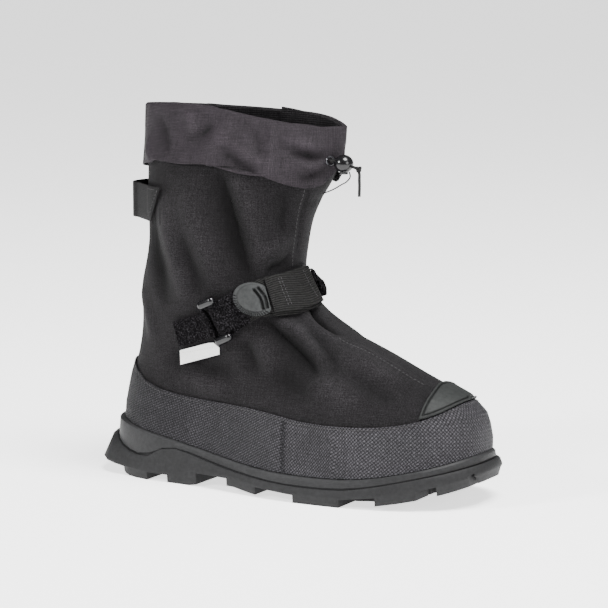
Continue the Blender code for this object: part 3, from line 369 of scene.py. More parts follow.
def edge_bead(piece, name, radius, wanted, rounding):
    """A round bead along the border of some faces of a piece, as a new mesh."""
    select_faces(piece, wanted)
    bpy.ops.object.mode_set(mode="EDIT")
    bpy.ops.mesh.region_to_loop()
    bpy.ops.mesh.duplicate()
    bpy.ops.mesh.vertices_smooth(factor=0.5, repeat=rounding)
    bpy.ops.mesh.separate(type="SELECTED")
    bpy.ops.object.mode_set(mode="OBJECT")
    bead = next(made for made in bpy.context.selected_objects if made != piece)
    bead.name = name
    bead.data.materials.clear()
    only(bead)
    bpy.ops.object.convert(target="CURVE")
    bead = bpy.context.object
    bead.data.bevel_depth = radius
    bead.data.bevel_resolution = 3
    bpy.ops.object.convert(target="MESH")
    return bpy.context.object


rand = solid_copy("midsole", "rand_moulding")
rand_underside = face_values(rand, "normal")[:, 2] < RAND_UNDERSIDE
# A dark bead along the rand's lower edge: painted shade in the gap of the joint.
joint_shade_line = edge_bead(rand, "sole_joint_line", JOINT_SHADE_BEAD, rand_underside, rounding=1)
round_edges(rand, RAND_BEVEL, angle=30.0)
rand_rubber = rubber_material("rand_rubber_moulded", RAND_COLOUR, roughness=0.5, grain=RAND_GRAIN)
joint_painted_shade = rubber_material("joint_painted_shade", JOINT_SHADE_COLOUR, roughness=0.7, grain=RAND_GRAIN)
dress(rand, rand_rubber, "rand_rubber", "midsole")
dress(joint_shade_line, joint_painted_shade, "rand_rubber")


# Foot bed: a thin dark felt liner board that lies loose on the rand's floor inside the upper.
# Only its upper face is ever seen, down through the collar.
BED_COLOUR = (0.01, 0.01, 0.011, 1.0)
BED_BEVEL = 0.001

bed = solid_copy("insole", "foot_bed_felt")
round_edges(bed, BED_BEVEL, angle=50.0)
felt, felt_tree, felt_shader, felt_place = new_material("foot_bed_felt", roughness=0.95, specular=0.2)
felt_tone = mottled(felt_tree, felt_place, BED_COLOUR, size=0.0012, amount=1.2)
finish_surface(felt_tree, felt_shader, felt_tone["Colour"], felt_tone["Value"], distance=0.0005)
dress(bed, felt, "foot_bed", "insole")


# Upper: one bag of matte black coated nylon, lined in dark fleece and stiff enough to stand by itself.
# It is sewn up along the front of the shaft and over the vamp, and creases where the strap pulls it in.
SHELL_COLOUR = (0.0089, 0.0082, 0.0089, 1.0)
LINING_COLOUR = (0.013, 0.0122, 0.013, 1.0)
THREAD_COLOUR = (0.032, 0.031, 0.032, 1.0)
SHAFT_AXIS_X = 0.055
FOOT_AXIS_Z = 0.045
FOOT_AXIS_X = (-0.005, 0.225)
SHAFT_AXIS_Z = (0.06, 0.32)
COVER_NODES = ("foot_panel", "toe_patch", "cuff", "pull_loop", "strap_anchor", "instep_strap",
               "front_anchor", "side_label")
COVER_GAP = 0.0004
FOLD_SCALE = 0.004
FOLD_REACH = 4.0
FOLD_THROUGH = 0.8
FOLD_TAPER = 0.6
Crease = namedtuple("Crease", "width depth power route skew", defaults=(1.0,))
UPPER_CREASES = [
    # Outer side of the shaft: one long valley from the cuff to the tab, steep on its front flank
    Crease(0.013, -0.0068, 1.15, [(0.07, -0.042, 0.246), (0.0785, -0.0425, 0.227), (0.0863, -0.042, 0.205),
        (0.0925, -0.0398, 0.182), (0.0975, -0.037, 0.158)], 0.26),
    Crease(0.011, 0.0032, 2.0, [(0.042, -0.044, 0.226), (0.052, -0.047, 0.2), (0.064, -0.048, 0.178),
        (0.077, -0.045, 0.16)]),
    Crease(0.007, 0.0026, 2.0, [(0.084, -0.041, 0.24), (0.0945, -0.0392, 0.215), (0.1005, -0.0355, 0.19),
        (0.1035, -0.0325, 0.17)]),
    Crease(0.0045, -0.0034, 1.4, [(0.105, -0.03, 0.164), (0.108, -0.0262, 0.17), (0.113, -0.019, 0.173),
        (0.1165, -0.013, 0.18)], 0.6),
    Crease(0.0065, 0.0022, 2.0, [(0.103, -0.032, 0.18), (0.111, -0.023, 0.186), (0.116, -0.016, 0.196)]),
    Crease(0.006, -0.0026, 1.6, [(0.119, -0.027, 0.232), (0.1165, -0.0235, 0.21), (0.113, -0.0205, 0.192)]),
    # Front of the shaft: a soft swell, and the seam along its outer edge
    Crease(0.014, 0.003, 2.0, [(0.132, -0.004, 0.22), (0.126, 0.003, 0.2), (0.122, 0.004, 0.184),
        (0.1195, 0.003, 0.168)]),
    Crease(0.003, -0.0018, 1.4, [(0.1325, -0.015, 0.233), (0.1285, -0.0118, 0.215), (0.1232, -0.008, 0.196),
        (0.119, -0.007, 0.178)], 0.6),
    Crease(0.002, 0.001, 2.0, [(0.156, -0.013, 0.119), (0.185, -0.0105, 0.106), (0.21, -0.008, 0.095),
        (0.234, -0.005, 0.084)]),
    # Below the tab: a ridge that the strap pulls up, and the valleys beside it
    Crease(0.005, 0.0044, 2.0, [(0.113, -0.034, 0.132), (0.121, -0.0305, 0.129), (0.132, -0.0262, 0.1225),
        (0.145, -0.029, 0.113), (0.158, -0.034, 0.103)]),
    Crease(0.0085, -0.0076, 1.1, [(0.108, -0.0368, 0.134), (0.118, -0.035, 0.1255), (0.133, -0.034, 0.114),
        (0.1495, -0.037, 0.1005), (0.158, -0.041, 0.09)], 0.34),
    Crease(0.0055, -0.004, 1.4, [(0.137, -0.023, 0.124), (0.152, -0.024, 0.112), (0.164, -0.029, 0.102),
        (0.171, -0.035, 0.092)], 0.6),
    Crease(0.007, 0.0028, 2.0, [(0.104, -0.0405, 0.118), (0.112, -0.042, 0.104), (0.12, -0.0435, 0.092)]),
    Crease(0.007, -0.003, 1.6, [(0.093, -0.0415, 0.118), (0.099, -0.0425, 0.104), (0.106, -0.044, 0.09)]),
    # Over the instep: a lens-shaped fold under the strap
    Crease(0.0042, -0.0048, 1.4, [(0.1265, -0.001, 0.146), (0.132, -0.005, 0.139), (0.141, -0.008, 0.1295),
        (0.158, -0.009, 0.119)], 0.5),
    Crease(0.0048, 0.003, 2.0, [(0.127, -0.013, 0.14), (0.137, -0.0165, 0.129), (0.15, -0.017, 0.12),
        (0.164, -0.016, 0.113)]),
    # Heel quarter and lower foot: broad soft swells
    Crease(0.0095, -0.0046, 1.8, [(0.006, -0.033, 0.208), (0.009, -0.037, 0.185), (0.019, -0.0432, 0.164),
        (0.023, -0.0432, 0.138)]),
    Crease(0.0085, 0.0036, 2.0, [(0.018, -0.039, 0.22), (0.029, -0.044, 0.192), (0.038, -0.046, 0.168),
        (0.045, -0.0455, 0.144)]),
    Crease(0.008, -0.0034, 1.7, [(0.04, -0.0465, 0.196), (0.05, -0.0485, 0.172), (0.06, -0.0475, 0.15)]),
    Crease(0.0075, 0.003, 2.0, [(-0.006, -0.026, 0.15), (0.002, -0.032, 0.13), (0.008, -0.035, 0.108)]),
    Crease(0.0085, 0.003, 2.0, [(0.0348, -0.0406, 0.0865), (0.0579, -0.0417, 0.0812),
        (0.0815, -0.0442, 0.0778)]),
    Crease(0.009, -0.003, 1.8, [(0.026, -0.041, 0.1), (0.056, -0.043, 0.093), (0.086, -0.043, 0.09)]),
    Crease(0.012, 0.0032, 2.0, [(0.148, -0.042, 0.088), (0.17, -0.04, 0.081), (0.195, -0.037, 0.076)]),
    Crease(0.01, -0.0032, 1.8, [(0.114, -0.044, 0.096), (0.136, -0.043, 0.085), (0.158, -0.045, 0.074)]),
    Crease(0.013, 0.0026, 2.0, [(0.1661, -0.0173, 0.113), (0.19, -0.02, 0.1), (0.2147, -0.0216, 0.088)]),
    Crease(0.009, -0.003, 1.7, [(0.174, -0.033, 0.098), (0.196, -0.033, 0.087), (0.217, -0.032, 0.077)]),
    # Inner side of the shaft and foot
    Crease(0.011, -0.0054, 1.4, [(0.074, 0.0425, 0.24), (0.088, 0.041, 0.208),
        (0.0945, 0.0385, 0.17)], 2.0),
    Crease(0.01, 0.003, 2.0, [(0.06, 0.044, 0.236), (0.072, 0.046, 0.206), (0.08, 0.046, 0.176)]),
    Crease(0.0055, -0.0044, 1.5, [(0.113, 0.03, 0.134), (0.132, 0.031, 0.118), (0.154, 0.033, 0.1)]),
    Crease(0.007, 0.0032, 2.0, [(0.118, 0.023, 0.14), (0.138, 0.023, 0.124), (0.16, 0.024, 0.108)]),
    Crease(0.01, -0.0036, 2.0, [(0.006, 0.034, 0.178), (0.02, 0.043, 0.16), (0.026, 0.042, 0.138)]),
    Crease(0.011, 0.003, 2.0, [(0.15, 0.04, 0.088), (0.176, 0.04, 0.08), (0.2, 0.038, 0.075)]),
    # Back of the heel
    Crease(0.0085, -0.0026, 2.0, [(-0.015, -0.012, 0.16), (-0.018, 0.0, 0.15), (-0.015, 0.012, 0.158)]),
]
RimDrop = namedtuple("RimDrop", "x drop")
RIM_DROPS = [
    RimDrop(0.026, 0.0), RimDrop(0.045, 0.001), RimDrop(0.071, 0.0042), RimDrop(0.097, 0.008),
    RimDrop(0.121, 0.0098), RimDrop(0.143, 0.0074), RimDrop(0.156, 0.001),
]
RIM_LEVELS = (0.25, 0.2927)
RIM_SIDE = 0.012
ROUTE_SAMPLES = 40
FRONT_SEAM = [
    (0.131, -0.0175, 0.236), (0.1268, -0.0145, 0.217), (0.1215, -0.011, 0.197), (0.1175, -0.0105, 0.182),
    (0.1155, -0.009, 0.168),
]
VAMP_SEAM = [
    (0.16, -0.016, 0.117), (0.185, -0.0135, 0.106), (0.21, -0.011, 0.095), (0.23, -0.0085, 0.086),
]
STREAK_FINE = 0.0007
STREAK_LONG = 0.016
STREAK_TONE = 1.3
STITCH = 0.0023
STITCH_GAP = 0.001
THREAD = 0.00035
STITCH_RINGS = 5
STITCH_SIDES = 6
STITCH_LIFT = 0.9
STITCH_SINK = 0.3
HIT_REACH = 0.03
OUTER_FACING = 0.2
WEAVE_ROUNDING = 0.4
WEAVE_SHADE = (0.6, 0.6)
CLOTH_SPECULAR = 0.07


def mesh_points(piece):
    """A mesh's vertex places and normals."""
    count = len(piece.data.vertices)
    places = np.empty(count * 3)
    piece.data.vertices.foreach_get("co", places)
    normals = np.empty(count * 3)
    piece.data.vertex_normals.foreach_get("vector", normals)
    return places.reshape(-1, 3), normals.reshape(-1, 3)


def set_points(piece, places):
    """Move a mesh's vertices."""
    piece.data.vertices.foreach_set("co", np.ascontiguousarray(places).ravel())
    piece.data.update()


def away_from_foot(places):
    """Directions from the foot's and the shin's middle lines out to places on the shoe."""
    foot = places.copy()
    foot[:, 0] = np.clip(places[:, 0], *FOOT_AXIS_X)
    foot[:, 1] = 0.0
    foot[:, 2] = FOOT_AXIS_Z
    shin = places.copy()
    shin[:, 0] = SHAFT_AXIS_X
    shin[:, 1] = 0.0
    shin[:, 2] = np.clip(places[:, 2], *SHAFT_AXIS_Z)
    to_foot = np.linalg.norm(places - foot, axis=1)
    to_shin = np.linalg.norm(places - shin, axis=1)
    middle = np.where((to_foot < to_shin)[:, None], foot, shin)
    outward = places - middle
    return outward / np.linalg.norm(outward, axis=1)[:, None]


def facing_out(piece):
    """How far each face of a piece looks away from the foot, from -1 to 1."""
    outward = away_from_foot(face_values(piece, "center"))
    return np.einsum("ij,ij->i", face_values(piece, "normal"), outward)


def smooth_route(route, samples):
    """Even samples on a soft curve through a route's points."""
    route = np.array(route, float)
    steps = np.concatenate(([0.0], np.cumsum(np.linalg.norm(np.diff(route, axis=0), axis=1))))
    tangents = np.gradient(route, steps, axis=0)
    places = np.linspace(0.0, steps[-1], samples)
    index = np.clip(np.searchsorted(steps, places) - 1, 0, len(steps) - 2)
    width = (steps[index + 1] - steps[index])[:, None]
    part = (places[:, None] - steps[index][:, None]) / width
    start = route[index] * (1 + 2 * part) * (1 - part) ** 2 + width * tangents[index] * part * (1 - part) ** 2
    end = route[index + 1] * part ** 2 * (3 - 2 * part)
    return start + end - width * tangents[index + 1] * part ** 2 * (1 - part)


def surface_tree(*pieces):
    """A search tree over the faces of one or more meshes."""
    corners = []
    faces = []
    for piece in pieces:
        first = len(corners)
        corners += [vert.co for vert in piece.data.vertices]
        faces += [[first + corner for corner in face.vertices] for face in piece.data.polygons]
    return BVHTree.FromPolygons(corners, faces)


def fold_cloth(piece, creases, covers=()):
    """Press soft troughs into a cloth piece and raise soft ridges, but not through what covers it."""
    places, normals = mesh_points(piece)
    facing = np.sign(np.einsum("ij,ij->i", normals, away_from_foot(places)))
    outward = normals * facing[:, None]
    push = np.zeros(len(places))
    for crease in creases:
        route = smooth_route(crease.route, ROUTE_SAMPLES)
        reach = FOLD_REACH * crease.width
        near = np.all((places > route.min(axis=0) - reach) & (places < route.max(axis=0) + reach), axis=1)
        apart = places[near][:, None, :] - route[None, :, :]
        through = np.einsum("ijk,ik->ij", apart, outward[near])
        gaps = np.einsum("ijk,ijk->ij", apart, apart) - FOLD_THROUGH * through ** 2
        gaps = np.sqrt(np.maximum(gaps, 0.0))
        nearest = gaps.argmin(axis=1)
        aside = np.cross(np.gradient(route, axis=0)[nearest], outward[near])
        beyond = np.einsum("ij,ij->i", aside, apart[np.arange(len(nearest)), nearest]) < 0.0
        width = np.where(beyond, crease.width * crease.skew, crease.width)
        taper = np.sin(math.pi * (nearest + 0.5) / ROUTE_SAMPLES) ** FOLD_TAPER
        push[near] += crease.depth * taper * np.exp(-(gaps.min(axis=1) / width) ** crease.power)
    if covers:
        tree = surface_tree(*[cad[node] for node in covers])
        for index in np.flatnonzero(push > COVER_GAP / 2.0):
            found = tree.find_nearest(Vector(places[index]), push[index] + COVER_GAP)
            if found[0] is not None:
                push[index] = min(push[index], max(0.0, found[3] - COVER_GAP))
    set_points(piece, places + outward * push[:, None])
    # The fold height is kept for the materials, which paint light on the ridges and shade in the troughs.
    mark = piece.data.attributes.new("fold", "FLOAT", "POINT")
    mark.data.foreach_set("value", np.clip(push * facing / FOLD_SCALE, -1.0, 1.0).astype(np.float32))


def drop_rim(piece):
    """Let the collar's rim sag on the outer side towards the front, as a soft collar does."""
    places, _ = mesh_points(piece)
    fall = np.interp(places[:, 0], *zip(*RIM_DROPS))
    high = np.clip((places[:, 2] - RIM_LEVELS[0]) / (RIM_LEVELS[1] - RIM_LEVELS[0]), 0.0, 1.0)
    side = np.clip(0.5 - places[:, 1] / RIM_SIDE, 0.0, 1.0)
    places[:, 2] -= fall * high * side * side * (3.0 - 2.0 * side)
    set_points(piece, places)


def cloth_map(piece):
    """A UV map in metres, laid flat on the surface from the sides, the ends and the top."""
    only(piece)
    bpy.ops.object.mode_set(mode="EDIT")
    bpy.ops.mesh.select_all(action="SELECT")
    bpy.ops.uv.cube_project(cube_size=1.0, correct_aspect=False, scale_to_bounds=False)
    bpy.ops.object.mode_set(mode="OBJECT")


def surface_hit(tree, place):
    """Where a line towards the middle of the foot first meets a surface, and the surface's normal."""
    outward = Vector(away_from_foot(np.array([place]))[0])
    hit = tree.ray_cast(Vector(place) + outward * HIT_REACH, -outward, 2.0 * HIT_REACH)
    if hit[0] is None:
        hit = tree.find_nearest(Vector(place))
    normal = hit[1] if hit[1].dot(outward) > 0.0 else -hit[1]
    return hit[0], normal


def mesh_piece(name, corners, faces):
    """A new mesh object from corners and faces."""
    data = bpy.data.meshes.new(name)
    data.from_pydata([tuple(corner) for corner in corners], [], faces)
    piece = bpy.data.objects.new(name, data)
    bpy.context.collection.objects.link(piece)
    return piece


def stitch_rows(name, rows, piece, stitch, gap, thread, sway=0.0):
    """Rows of thread stitches along routes on a piece. With sway, the stitches make a zigzag."""
    tree = surface_tree(piece)
    corners = []
    faces = []
    for row in rows:
        length = sum((Vector(b) - Vector(a)).length for a, b in zip(row, row[1:]))
        line = smooth_route(row, max(ROUTE_SAMPLES, int(length / stitch) * 2))
        runs = np.concatenate(([0.0], np.cumsum(np.linalg.norm(np.diff(line, axis=0), axis=1))))
        for index in range(int(runs[-1] // (stitch + gap))):
            spans = index * (stitch + gap) + np.linspace(0.0, stitch, STITCH_RINGS)
            middles = np.column_stack([np.interp(spans, runs, line[:, axis]) for axis in range(3)])
            along = Vector(middles[-1] - middles[0]).normalized()
            first = len(corners)
            for step, middle in enumerate(middles):
                place, normal = surface_hit(tree, middle)
                side = normal.cross(along).normalized()
                arch = math.sin(math.pi * step / (STITCH_RINGS - 1))
                swing = sway * (2.0 * step / (STITCH_RINGS - 1) - 1.0) * (-1.0) ** index
                centre = place + normal * thread * (STITCH_LIFT * arch - STITCH_SINK) + side * swing
                for turn in np.linspace(0.0, 2.0 * math.pi, STITCH_SIDES, endpoint=False):
                    spoke = side * math.cos(turn) + normal * math.sin(turn)
                    corners.append(centre + spoke * thread * (0.5 + 0.5 * arch))
            for ring in range(STITCH_RINGS - 1):
                for turn in range(STITCH_SIDES):
                    after = (turn + 1) % STITCH_SIDES
                    low = first + ring * STITCH_SIDES
                    high = low + STITCH_SIDES
                    faces.append((low + turn, low + after, high + after, high + turn))
            last = first + (STITCH_RINGS - 1) * STITCH_SIDES
            faces.append(tuple(range(first + STITCH_SIDES - 1, first - 1, -1)))
            faces.append(tuple(range(last, last + STITCH_SIDES)))
    return mesh_piece(name, corners, faces)


weave, weave_in, weave_out = shader_group(
    "plain_weave",
    [("Vector", VECTOR, None), ("Pitch", FLOAT, 0.001), ("Length", FLOAT, 1.0)],
    [("Height", FLOAT), ("Over", FLOAT)],
)
weave_count = calculate(weave, "DIVIDE", 1.0, weave_in.outputs["Pitch"])
weave_scaled = scaled(weave, weave_in.outputs["Vector"], weave_count)
weave_axes = shader_node(weave, "ShaderNodeSeparateXYZ", {0: weave_scaled})
weave_u = calculate(weave, "DIVIDE", weave_axes.outputs[0], weave_in.outputs["Length"])
weave_v = weave_axes.outputs[1]
weave_hump_u = ribs(weave, weave_u)
weave_hump_v = ribs(weave, weave_v)
weave_cell = calculate(weave, "ADD", calculate(weave, "FLOOR", weave_u), calculate(weave, "FLOOR", weave_v))
weave_over = calculate(weave, "FLOORED_MODULO", weave_cell, 2.0)
weave_round_u = calculate(weave, "POWER", weave_hump_u, WEAVE_ROUNDING)
weave_round_v = calculate(weave, "POWER", weave_hump_v, WEAVE_ROUNDING)
weave_warp = calculate(weave, "MULTIPLY", weave_hump_u, weave_round_v)
weave_weft = calculate(weave, "MULTIPLY", weave_hump_v, weave_round_u)
weave_mix = shader_node(
    weave, "ShaderNodeMix", {0: weave_over, 2: weave_warp, 3: weave_weft}, data_type="FLOAT")
weave.links.new(weave_mix.outputs[0], weave_out.inputs["Height"])
weave.links.new(weave_over, weave_out.inputs["Over"])


def cloth_material(name, colour, pitch, roughness, relief, mottling, speckle, fold_shading=0.35, streaky=STREAK_TONE):
    """Coated plain-woven nylon on a piece's UV map, with painted light on its fold ridges, painted shade in
    its fold troughs and painted shade between its threads.
    """
    material, tree, shader, place = new_material(name, roughness, CLOTH_SPECULAR)
    cloth = shader_node(tree, "ShaderNodeUVMap").outputs["UV"]
    threads = use_group(tree, weave, {"Vector": cloth, "Pitch": pitch, "Length": 1.0})
    tone = mottled(tree, place, colour, size=0.03, amount=mottling)
    speck = mottled(tree, place, tone["Colour"], size=0.0008, amount=speckle)
    streaks = []
    for across, along in ((STREAK_FINE, STREAK_LONG), (STREAK_LONG, STREAK_FINE)):
        drawn = shader_node(tree, "ShaderNodeMapping", {
            "Vector": cloth, "Scale": (1.0 / across, 1.0 / along, 1.0)})
        noise = shader_node(tree, "ShaderNodeTexNoise", {
            "Vector": drawn.outputs[0], "Scale": 1.0, "Detail": 2.0})
        streaks.append(noise.outputs["Fac"])
    streak = calculate(tree, "MULTIPLY_ADD", calculate(tree, "ADD", *streaks), streaky, 1.0 - streaky)
    # Painted light on the ridges of the folds and painted shade in their troughs, from the fold height.
    fold = shader_node(tree, "ShaderNodeAttribute", attribute_name="fold").outputs["Fac"]
    fold_light_and_shade = calculate(tree, "MULTIPLY_ADD", fold, fold_shading, 1.0)
    gaps = calculate(tree, "MULTIPLY_ADD", threads["Height"], *WEAVE_SHADE)
    gain = calculate(tree, "MULTIPLY", streak, calculate(tree, "MULTIPLY", fold_light_and_shade, gaps))
    finish_surface(tree, shader, scaled(tree, speck["Colour"], gain), threads["Height"], relief)
    return material


def thread_material(name, colour):
    """Twisted sewing thread."""
    material, tree, shader, place = new_material(name, roughness=0.7, specular=0.2)
    twist = mottled(tree, place, colour, size=0.0008, amount=0.8)
    finish_surface(tree, shader, twist["Colour"], twist["Value"], distance=0.0001)
    return material


upper = smooth_copy("upper", "upper_shell")
select_faces(upper, facing_out(upper) > OUTER_FACING)
bpy.ops.object.mode_set(mode="EDIT")
bpy.ops.mesh.subdivide(number_cuts=1)
bpy.ops.object.mode_set(mode="OBJECT")
drop_rim(upper)
fold_cloth(upper, UPPER_CREASES, COVER_NODES)
cloth_map(upper)
shell_nylon = cloth_material(
    "shell_nylon_coated", SHELL_COLOUR, pitch=0.0007, roughness=0.75, relief=0.00016,
    mottling=0.3, speckle=2.6, fold_shading=0.75)
set_shader(shell_nylon, {"Sheen Weight": 0.03, "Sheen Roughness": 0.5})
fleece = cloth_material(
    "fleece_lining", LINING_COLOUR, pitch=0.0016, roughness=0.95, relief=0.0005, mottling=0.6, speckle=2.2)
upper.data.materials.append(shell_nylon)
upper.data.materials.append(fleece)
use_second_material(upper, facing_out(upper) < 0.0)
thread = thread_material("thread_black_nylon", THREAD_COLOUR)
seams = stitch_rows("upper_seam_stitches", [FRONT_SEAM, VAMP_SEAM], upper, STITCH, STITCH_GAP, THREAD)
dress(seams, thread, "shell_nylon")
dress(upper, None, "shell_nylon", "upper")


# Foot panel: a belt of coarse ballistic nylon that guards the foot from the rand up to a curved edge.
# Two halves meet in a zigzag seam near the ball, and both are cut on the bias, so their yarns slant.
PANEL_COLOUR = (0.048, 0.0458, 0.0508, 1.0)
PANEL_GAP_SHADE_COLOUR = (0.004, 0.004, 0.0045, 1.0)
PANEL_THREAD_COLOUR = (0.0115, 0.011, 0.012, 1.0)
PANEL_MIDDLE = Vector((0.115, 0.002, 0.04))
PANEL_DIRECTIONS = 180
PANEL_SEAM_X = 0.135
PANEL_SEAM_HALF = 0.075
PANEL_SEAM_LEVELS = (0.012, 0.025, 0.04, 0.055, 0.067)
PANEL_PITCH = 0.0019
PANEL_LENGTH = 1.1
PANEL_UNDER = 0.72
PANEL_SLANTS = (math.radians(-24.0), math.radians(-40.0))
PANEL_LIGHT_RAMP = (3.2, 0.52)
PANEL_LIGHT_RAMP_MOST = 1.05
PANEL_HEM = 0.0022
PANEL_SWAY = 0.0026
PANEL_ZIGZAG = 0.00045


def round_the_foot(piece, middle, directions):
    """Directions from a middle, distances round the outline from the heel, and the highest places."""
    places, _ = mesh_points(piece)
    turns = np.arctan2(places[:, 1] - middle.y, places[:, 0] - middle.x)
    bins = np.linspace(-math.pi, math.pi, directions + 1)
    ring = []
    tops = []
    for low, high in zip(bins, bins[1:]):
        inside = places[(turns >= low) & (turns <= high)]
        if len(inside):
            ring.append(((low + high) / 2.0, *inside[:, :2].mean(axis=0)))
            tops.append(inside[inside[:, 2].argmax()])
    ring = np.array(ring)
    steps = np.hypot(np.diff(ring[:, 1]), np.diff(ring[:, 2]))
    return ring[:, 0], np.concatenate(([0.0], np.cumsum(steps))), np.array(tops)


def wrap_map(piece, turns, runs, middle, seam_x, slants):
    """A UV map in metres round the shoe from the heel, with one slant behind a seam and one before it."""
    places, _ = mesh_points(piece)
    turn = np.arctan2(places[:, 1] - middle.y, places[:, 0] - middle.x)
    run = np.interp(turn, turns, runs)
    layer = piece.data.uv_layers.new(name="cloth")
    for face in piece.data.polygons:
        over = any(turn[corner] > math.pi / 2.0 for corner in face.vertices)
        slant = slants[int(face.center.x > seam_x)]
        for loop in face.loop_indices:
            corner = piece.data.loops[loop].vertex_index
            past = runs[-1] if over and turn[corner] < -math.pi / 2.0 else 0.0
            around, level = run[corner] + past, places[corner, 2]
            layer.data[loop].uv = (around * math.cos(slant) - level * math.sin(slant),
                                   around * math.sin(slant) + level * math.cos(slant))


panel = smooth_copy("foot_panel", "foot_panel_weave")
panel_turns, panel_runs, panel_tops = round_the_foot(panel, PANEL_MIDDLE, PANEL_DIRECTIONS)
wrap_map(panel, panel_turns, panel_runs, PANEL_MIDDLE, PANEL_SEAM_X, PANEL_SLANTS)
ballistic, panel_tree, panel_shader, panel_place = new_material(
    "ballistic_weave", roughness=0.6, specular=0.12)
panel_uv = shader_node(panel_tree, "ShaderNodeUVMap").outputs["UV"]
panel_threads = use_group(panel_tree, weave, {
    "Vector": panel_uv, "Pitch": PANEL_PITCH, "Length": PANEL_LENGTH})
panel_tone = mottled(panel_tree, panel_place, PANEL_COLOUR, size=0.03, amount=0.5)
panel_speck = mottled(panel_tree, panel_place, panel_tone["Colour"], size=0.002, amount=1.2)
# Painted shade between the yarns, deeper on the yarns that pass under.
panel_level = calculate(panel_tree, "MULTIPLY_ADD", panel_threads["Over"], 1.0 - PANEL_UNDER, PANEL_UNDER)
panel_over = calculate(panel_tree, "MULTIPLY", panel_threads["Height"], panel_level)
panel_axes = shader_node(panel_tree, "ShaderNodeSeparateXYZ", {0: panel_place}).outputs
# Painted light: the panel's yarn colour brightens from the heel towards the toe, up to a limit.
panel_painted_light = calculate(panel_tree, "MULTIPLY_ADD", panel_axes[0], *PANEL_LIGHT_RAMP)
panel_painted_light = calculate(panel_tree, "MINIMUM", panel_painted_light, PANEL_LIGHT_RAMP_MOST)
panel_yarn = scaled(panel_tree, panel_speck["Colour"], panel_painted_light)
panel_shade = blend_colours(panel_tree, panel_over, PANEL_GAP_SHADE_COLOUR, panel_yarn)
finish_surface(panel_tree, panel_shader, panel_shade, panel_threads["Height"], distance=0.0006)
panel_top = [place - np.array((0.0, 0.0, PANEL_HEM)) for place in panel_tops[::2]]
panel_hem = stitch_rows("panel_hem_stitches", [panel_top], panel, STITCH, STITCH_GAP, THREAD)
dress(panel_hem, thread, "woven_nylon")
panel_seams = []
for side in (-PANEL_SEAM_HALF, PANEL_SEAM_HALF):
    panel_seams.append([(PANEL_SEAM_X, side, level) for level in PANEL_SEAM_LEVELS])
zigzag = stitch_rows("panel_zigzag_stitches", panel_seams, panel, STITCH, 0.0, PANEL_ZIGZAG, PANEL_SWAY)
dress(zigzag, thread_material("thread_dark_nylon", PANEL_THREAD_COLOUR), "woven_nylon")
dress(panel, ballistic, "woven_nylon", "foot_panel")


# Toe patch: a rounded triangle of grey moulded rubber over the toes, with a raised border.
# It is cemented over the edge of the panel and the front of the upper, and a groove runs inside its border.
PATCH_COLOUR = (0.0172, 0.0184, 0.0179, 1.0)
PATCH_BORDER = 0.0014
PATCH_BORDER_RISE = 0.0005
PATCH_BORDER_SOFT = 0.0006
PATCH_EDGE_SOFT = 0.0008
PATCH_FACING = 0.5
PATCH_GROOVE = 0.0021
PATCH_GROOVE_WIDTH = 0.0006
PATCH_GROOVE_DEPTH = 0.0008
PATCH_DEPTH = (0.2334, 0.258)
PATCH_SIDE = 0.04
PATCH_CUT = 0.0029
PATCH_HOLLOW = 0.0018
PATCH_NARROWING = 0.13


def mark_groove(piece, depth_marks):
    """Keep how deep each vertex lies in a moulded groove, from 0 to 1, for the material to paint shade in."""
    mark = piece.data.attributes.new("groove", "FLOAT", "POINT")
    mark.data.foreach_set("value", np.clip(depth_marks, 0.0, 1.0).astype(np.float32))


patch = smooth_copy("toe_patch", "toe_patch_moulding", levels=4, crease=1.0)
patch_out = np.zeros(len(patch.data.vertices), bool)
patch_rest = np.zeros(len(patch.data.vertices), bool)
for face, outside in zip(patch.data.polygons, facing_out(patch) > PATCH_FACING):
    (patch_out if outside else patch_rest)[list(face.vertices)] = True
patch_places, _ = mesh_points(patch)
patch_base = surface_tree(upper)
patch_rear = np.clip((PATCH_DEPTH[1] - patch_places[:, 0]) / (PATCH_DEPTH[1] - PATCH_DEPTH[0]), 0.0, 1.0)
patch_outer = np.clip(-patch_places[:, 1] / PATCH_SIDE, 0.0, 1.0)
patch_moved = patch_places.copy()
patch_moved[:, 0] += patch_rear * (PATCH_CUT + PATCH_HOLLOW * np.sin(math.pi * patch_outer))
patch_moved[:, 1] *= 1.0 - PATCH_NARROWING * patch_outer
for index, (place, moved) in enumerate(zip(patch_places, patch_moved)):
    under, under_normal, _, _ = patch_base.find_nearest(Vector(place))
    height = (Vector(place) - under).dot(under_normal)
    landed, landed_normal, _, _ = patch_base.find_nearest(Vector(moved))
    patch_moved[index] = landed + landed_normal * height
set_points(patch, patch_moved)
patch_places, patch_normals = mesh_points(patch)
patch_edge = patch_places[patch_out & patch_rest]
patch_inset = np.array([np.linalg.norm(patch_edge - place, axis=1).min() for place in patch_places])
patch_rim = np.clip((PATCH_BORDER - patch_inset) / PATCH_BORDER_SOFT + 0.5, 0.0, 1.0)
patch_rim *= np.clip(patch_inset / PATCH_EDGE_SOFT, 0.0, 1.0)
patch_line = np.exp(-((patch_inset - PATCH_GROOVE) / PATCH_GROOVE_WIDTH) ** 2)
patch_push = np.where(patch_out, PATCH_BORDER_RISE * patch_rim - PATCH_GROOVE_DEPTH * patch_line, 0.0)
set_points(patch, patch_places + patch_normals * patch_push[:, None])
# Painted shade in the groove inside the border.
mark_groove(patch, np.where(patch_out, patch_line, 0.0))
patch_rubber = rubber_material("patch_rubber_moulded", PATCH_COLOUR, roughness=0.58, grain=0.0008)
dress(patch, patch_rubber, "patch_rubber", "toe_patch")


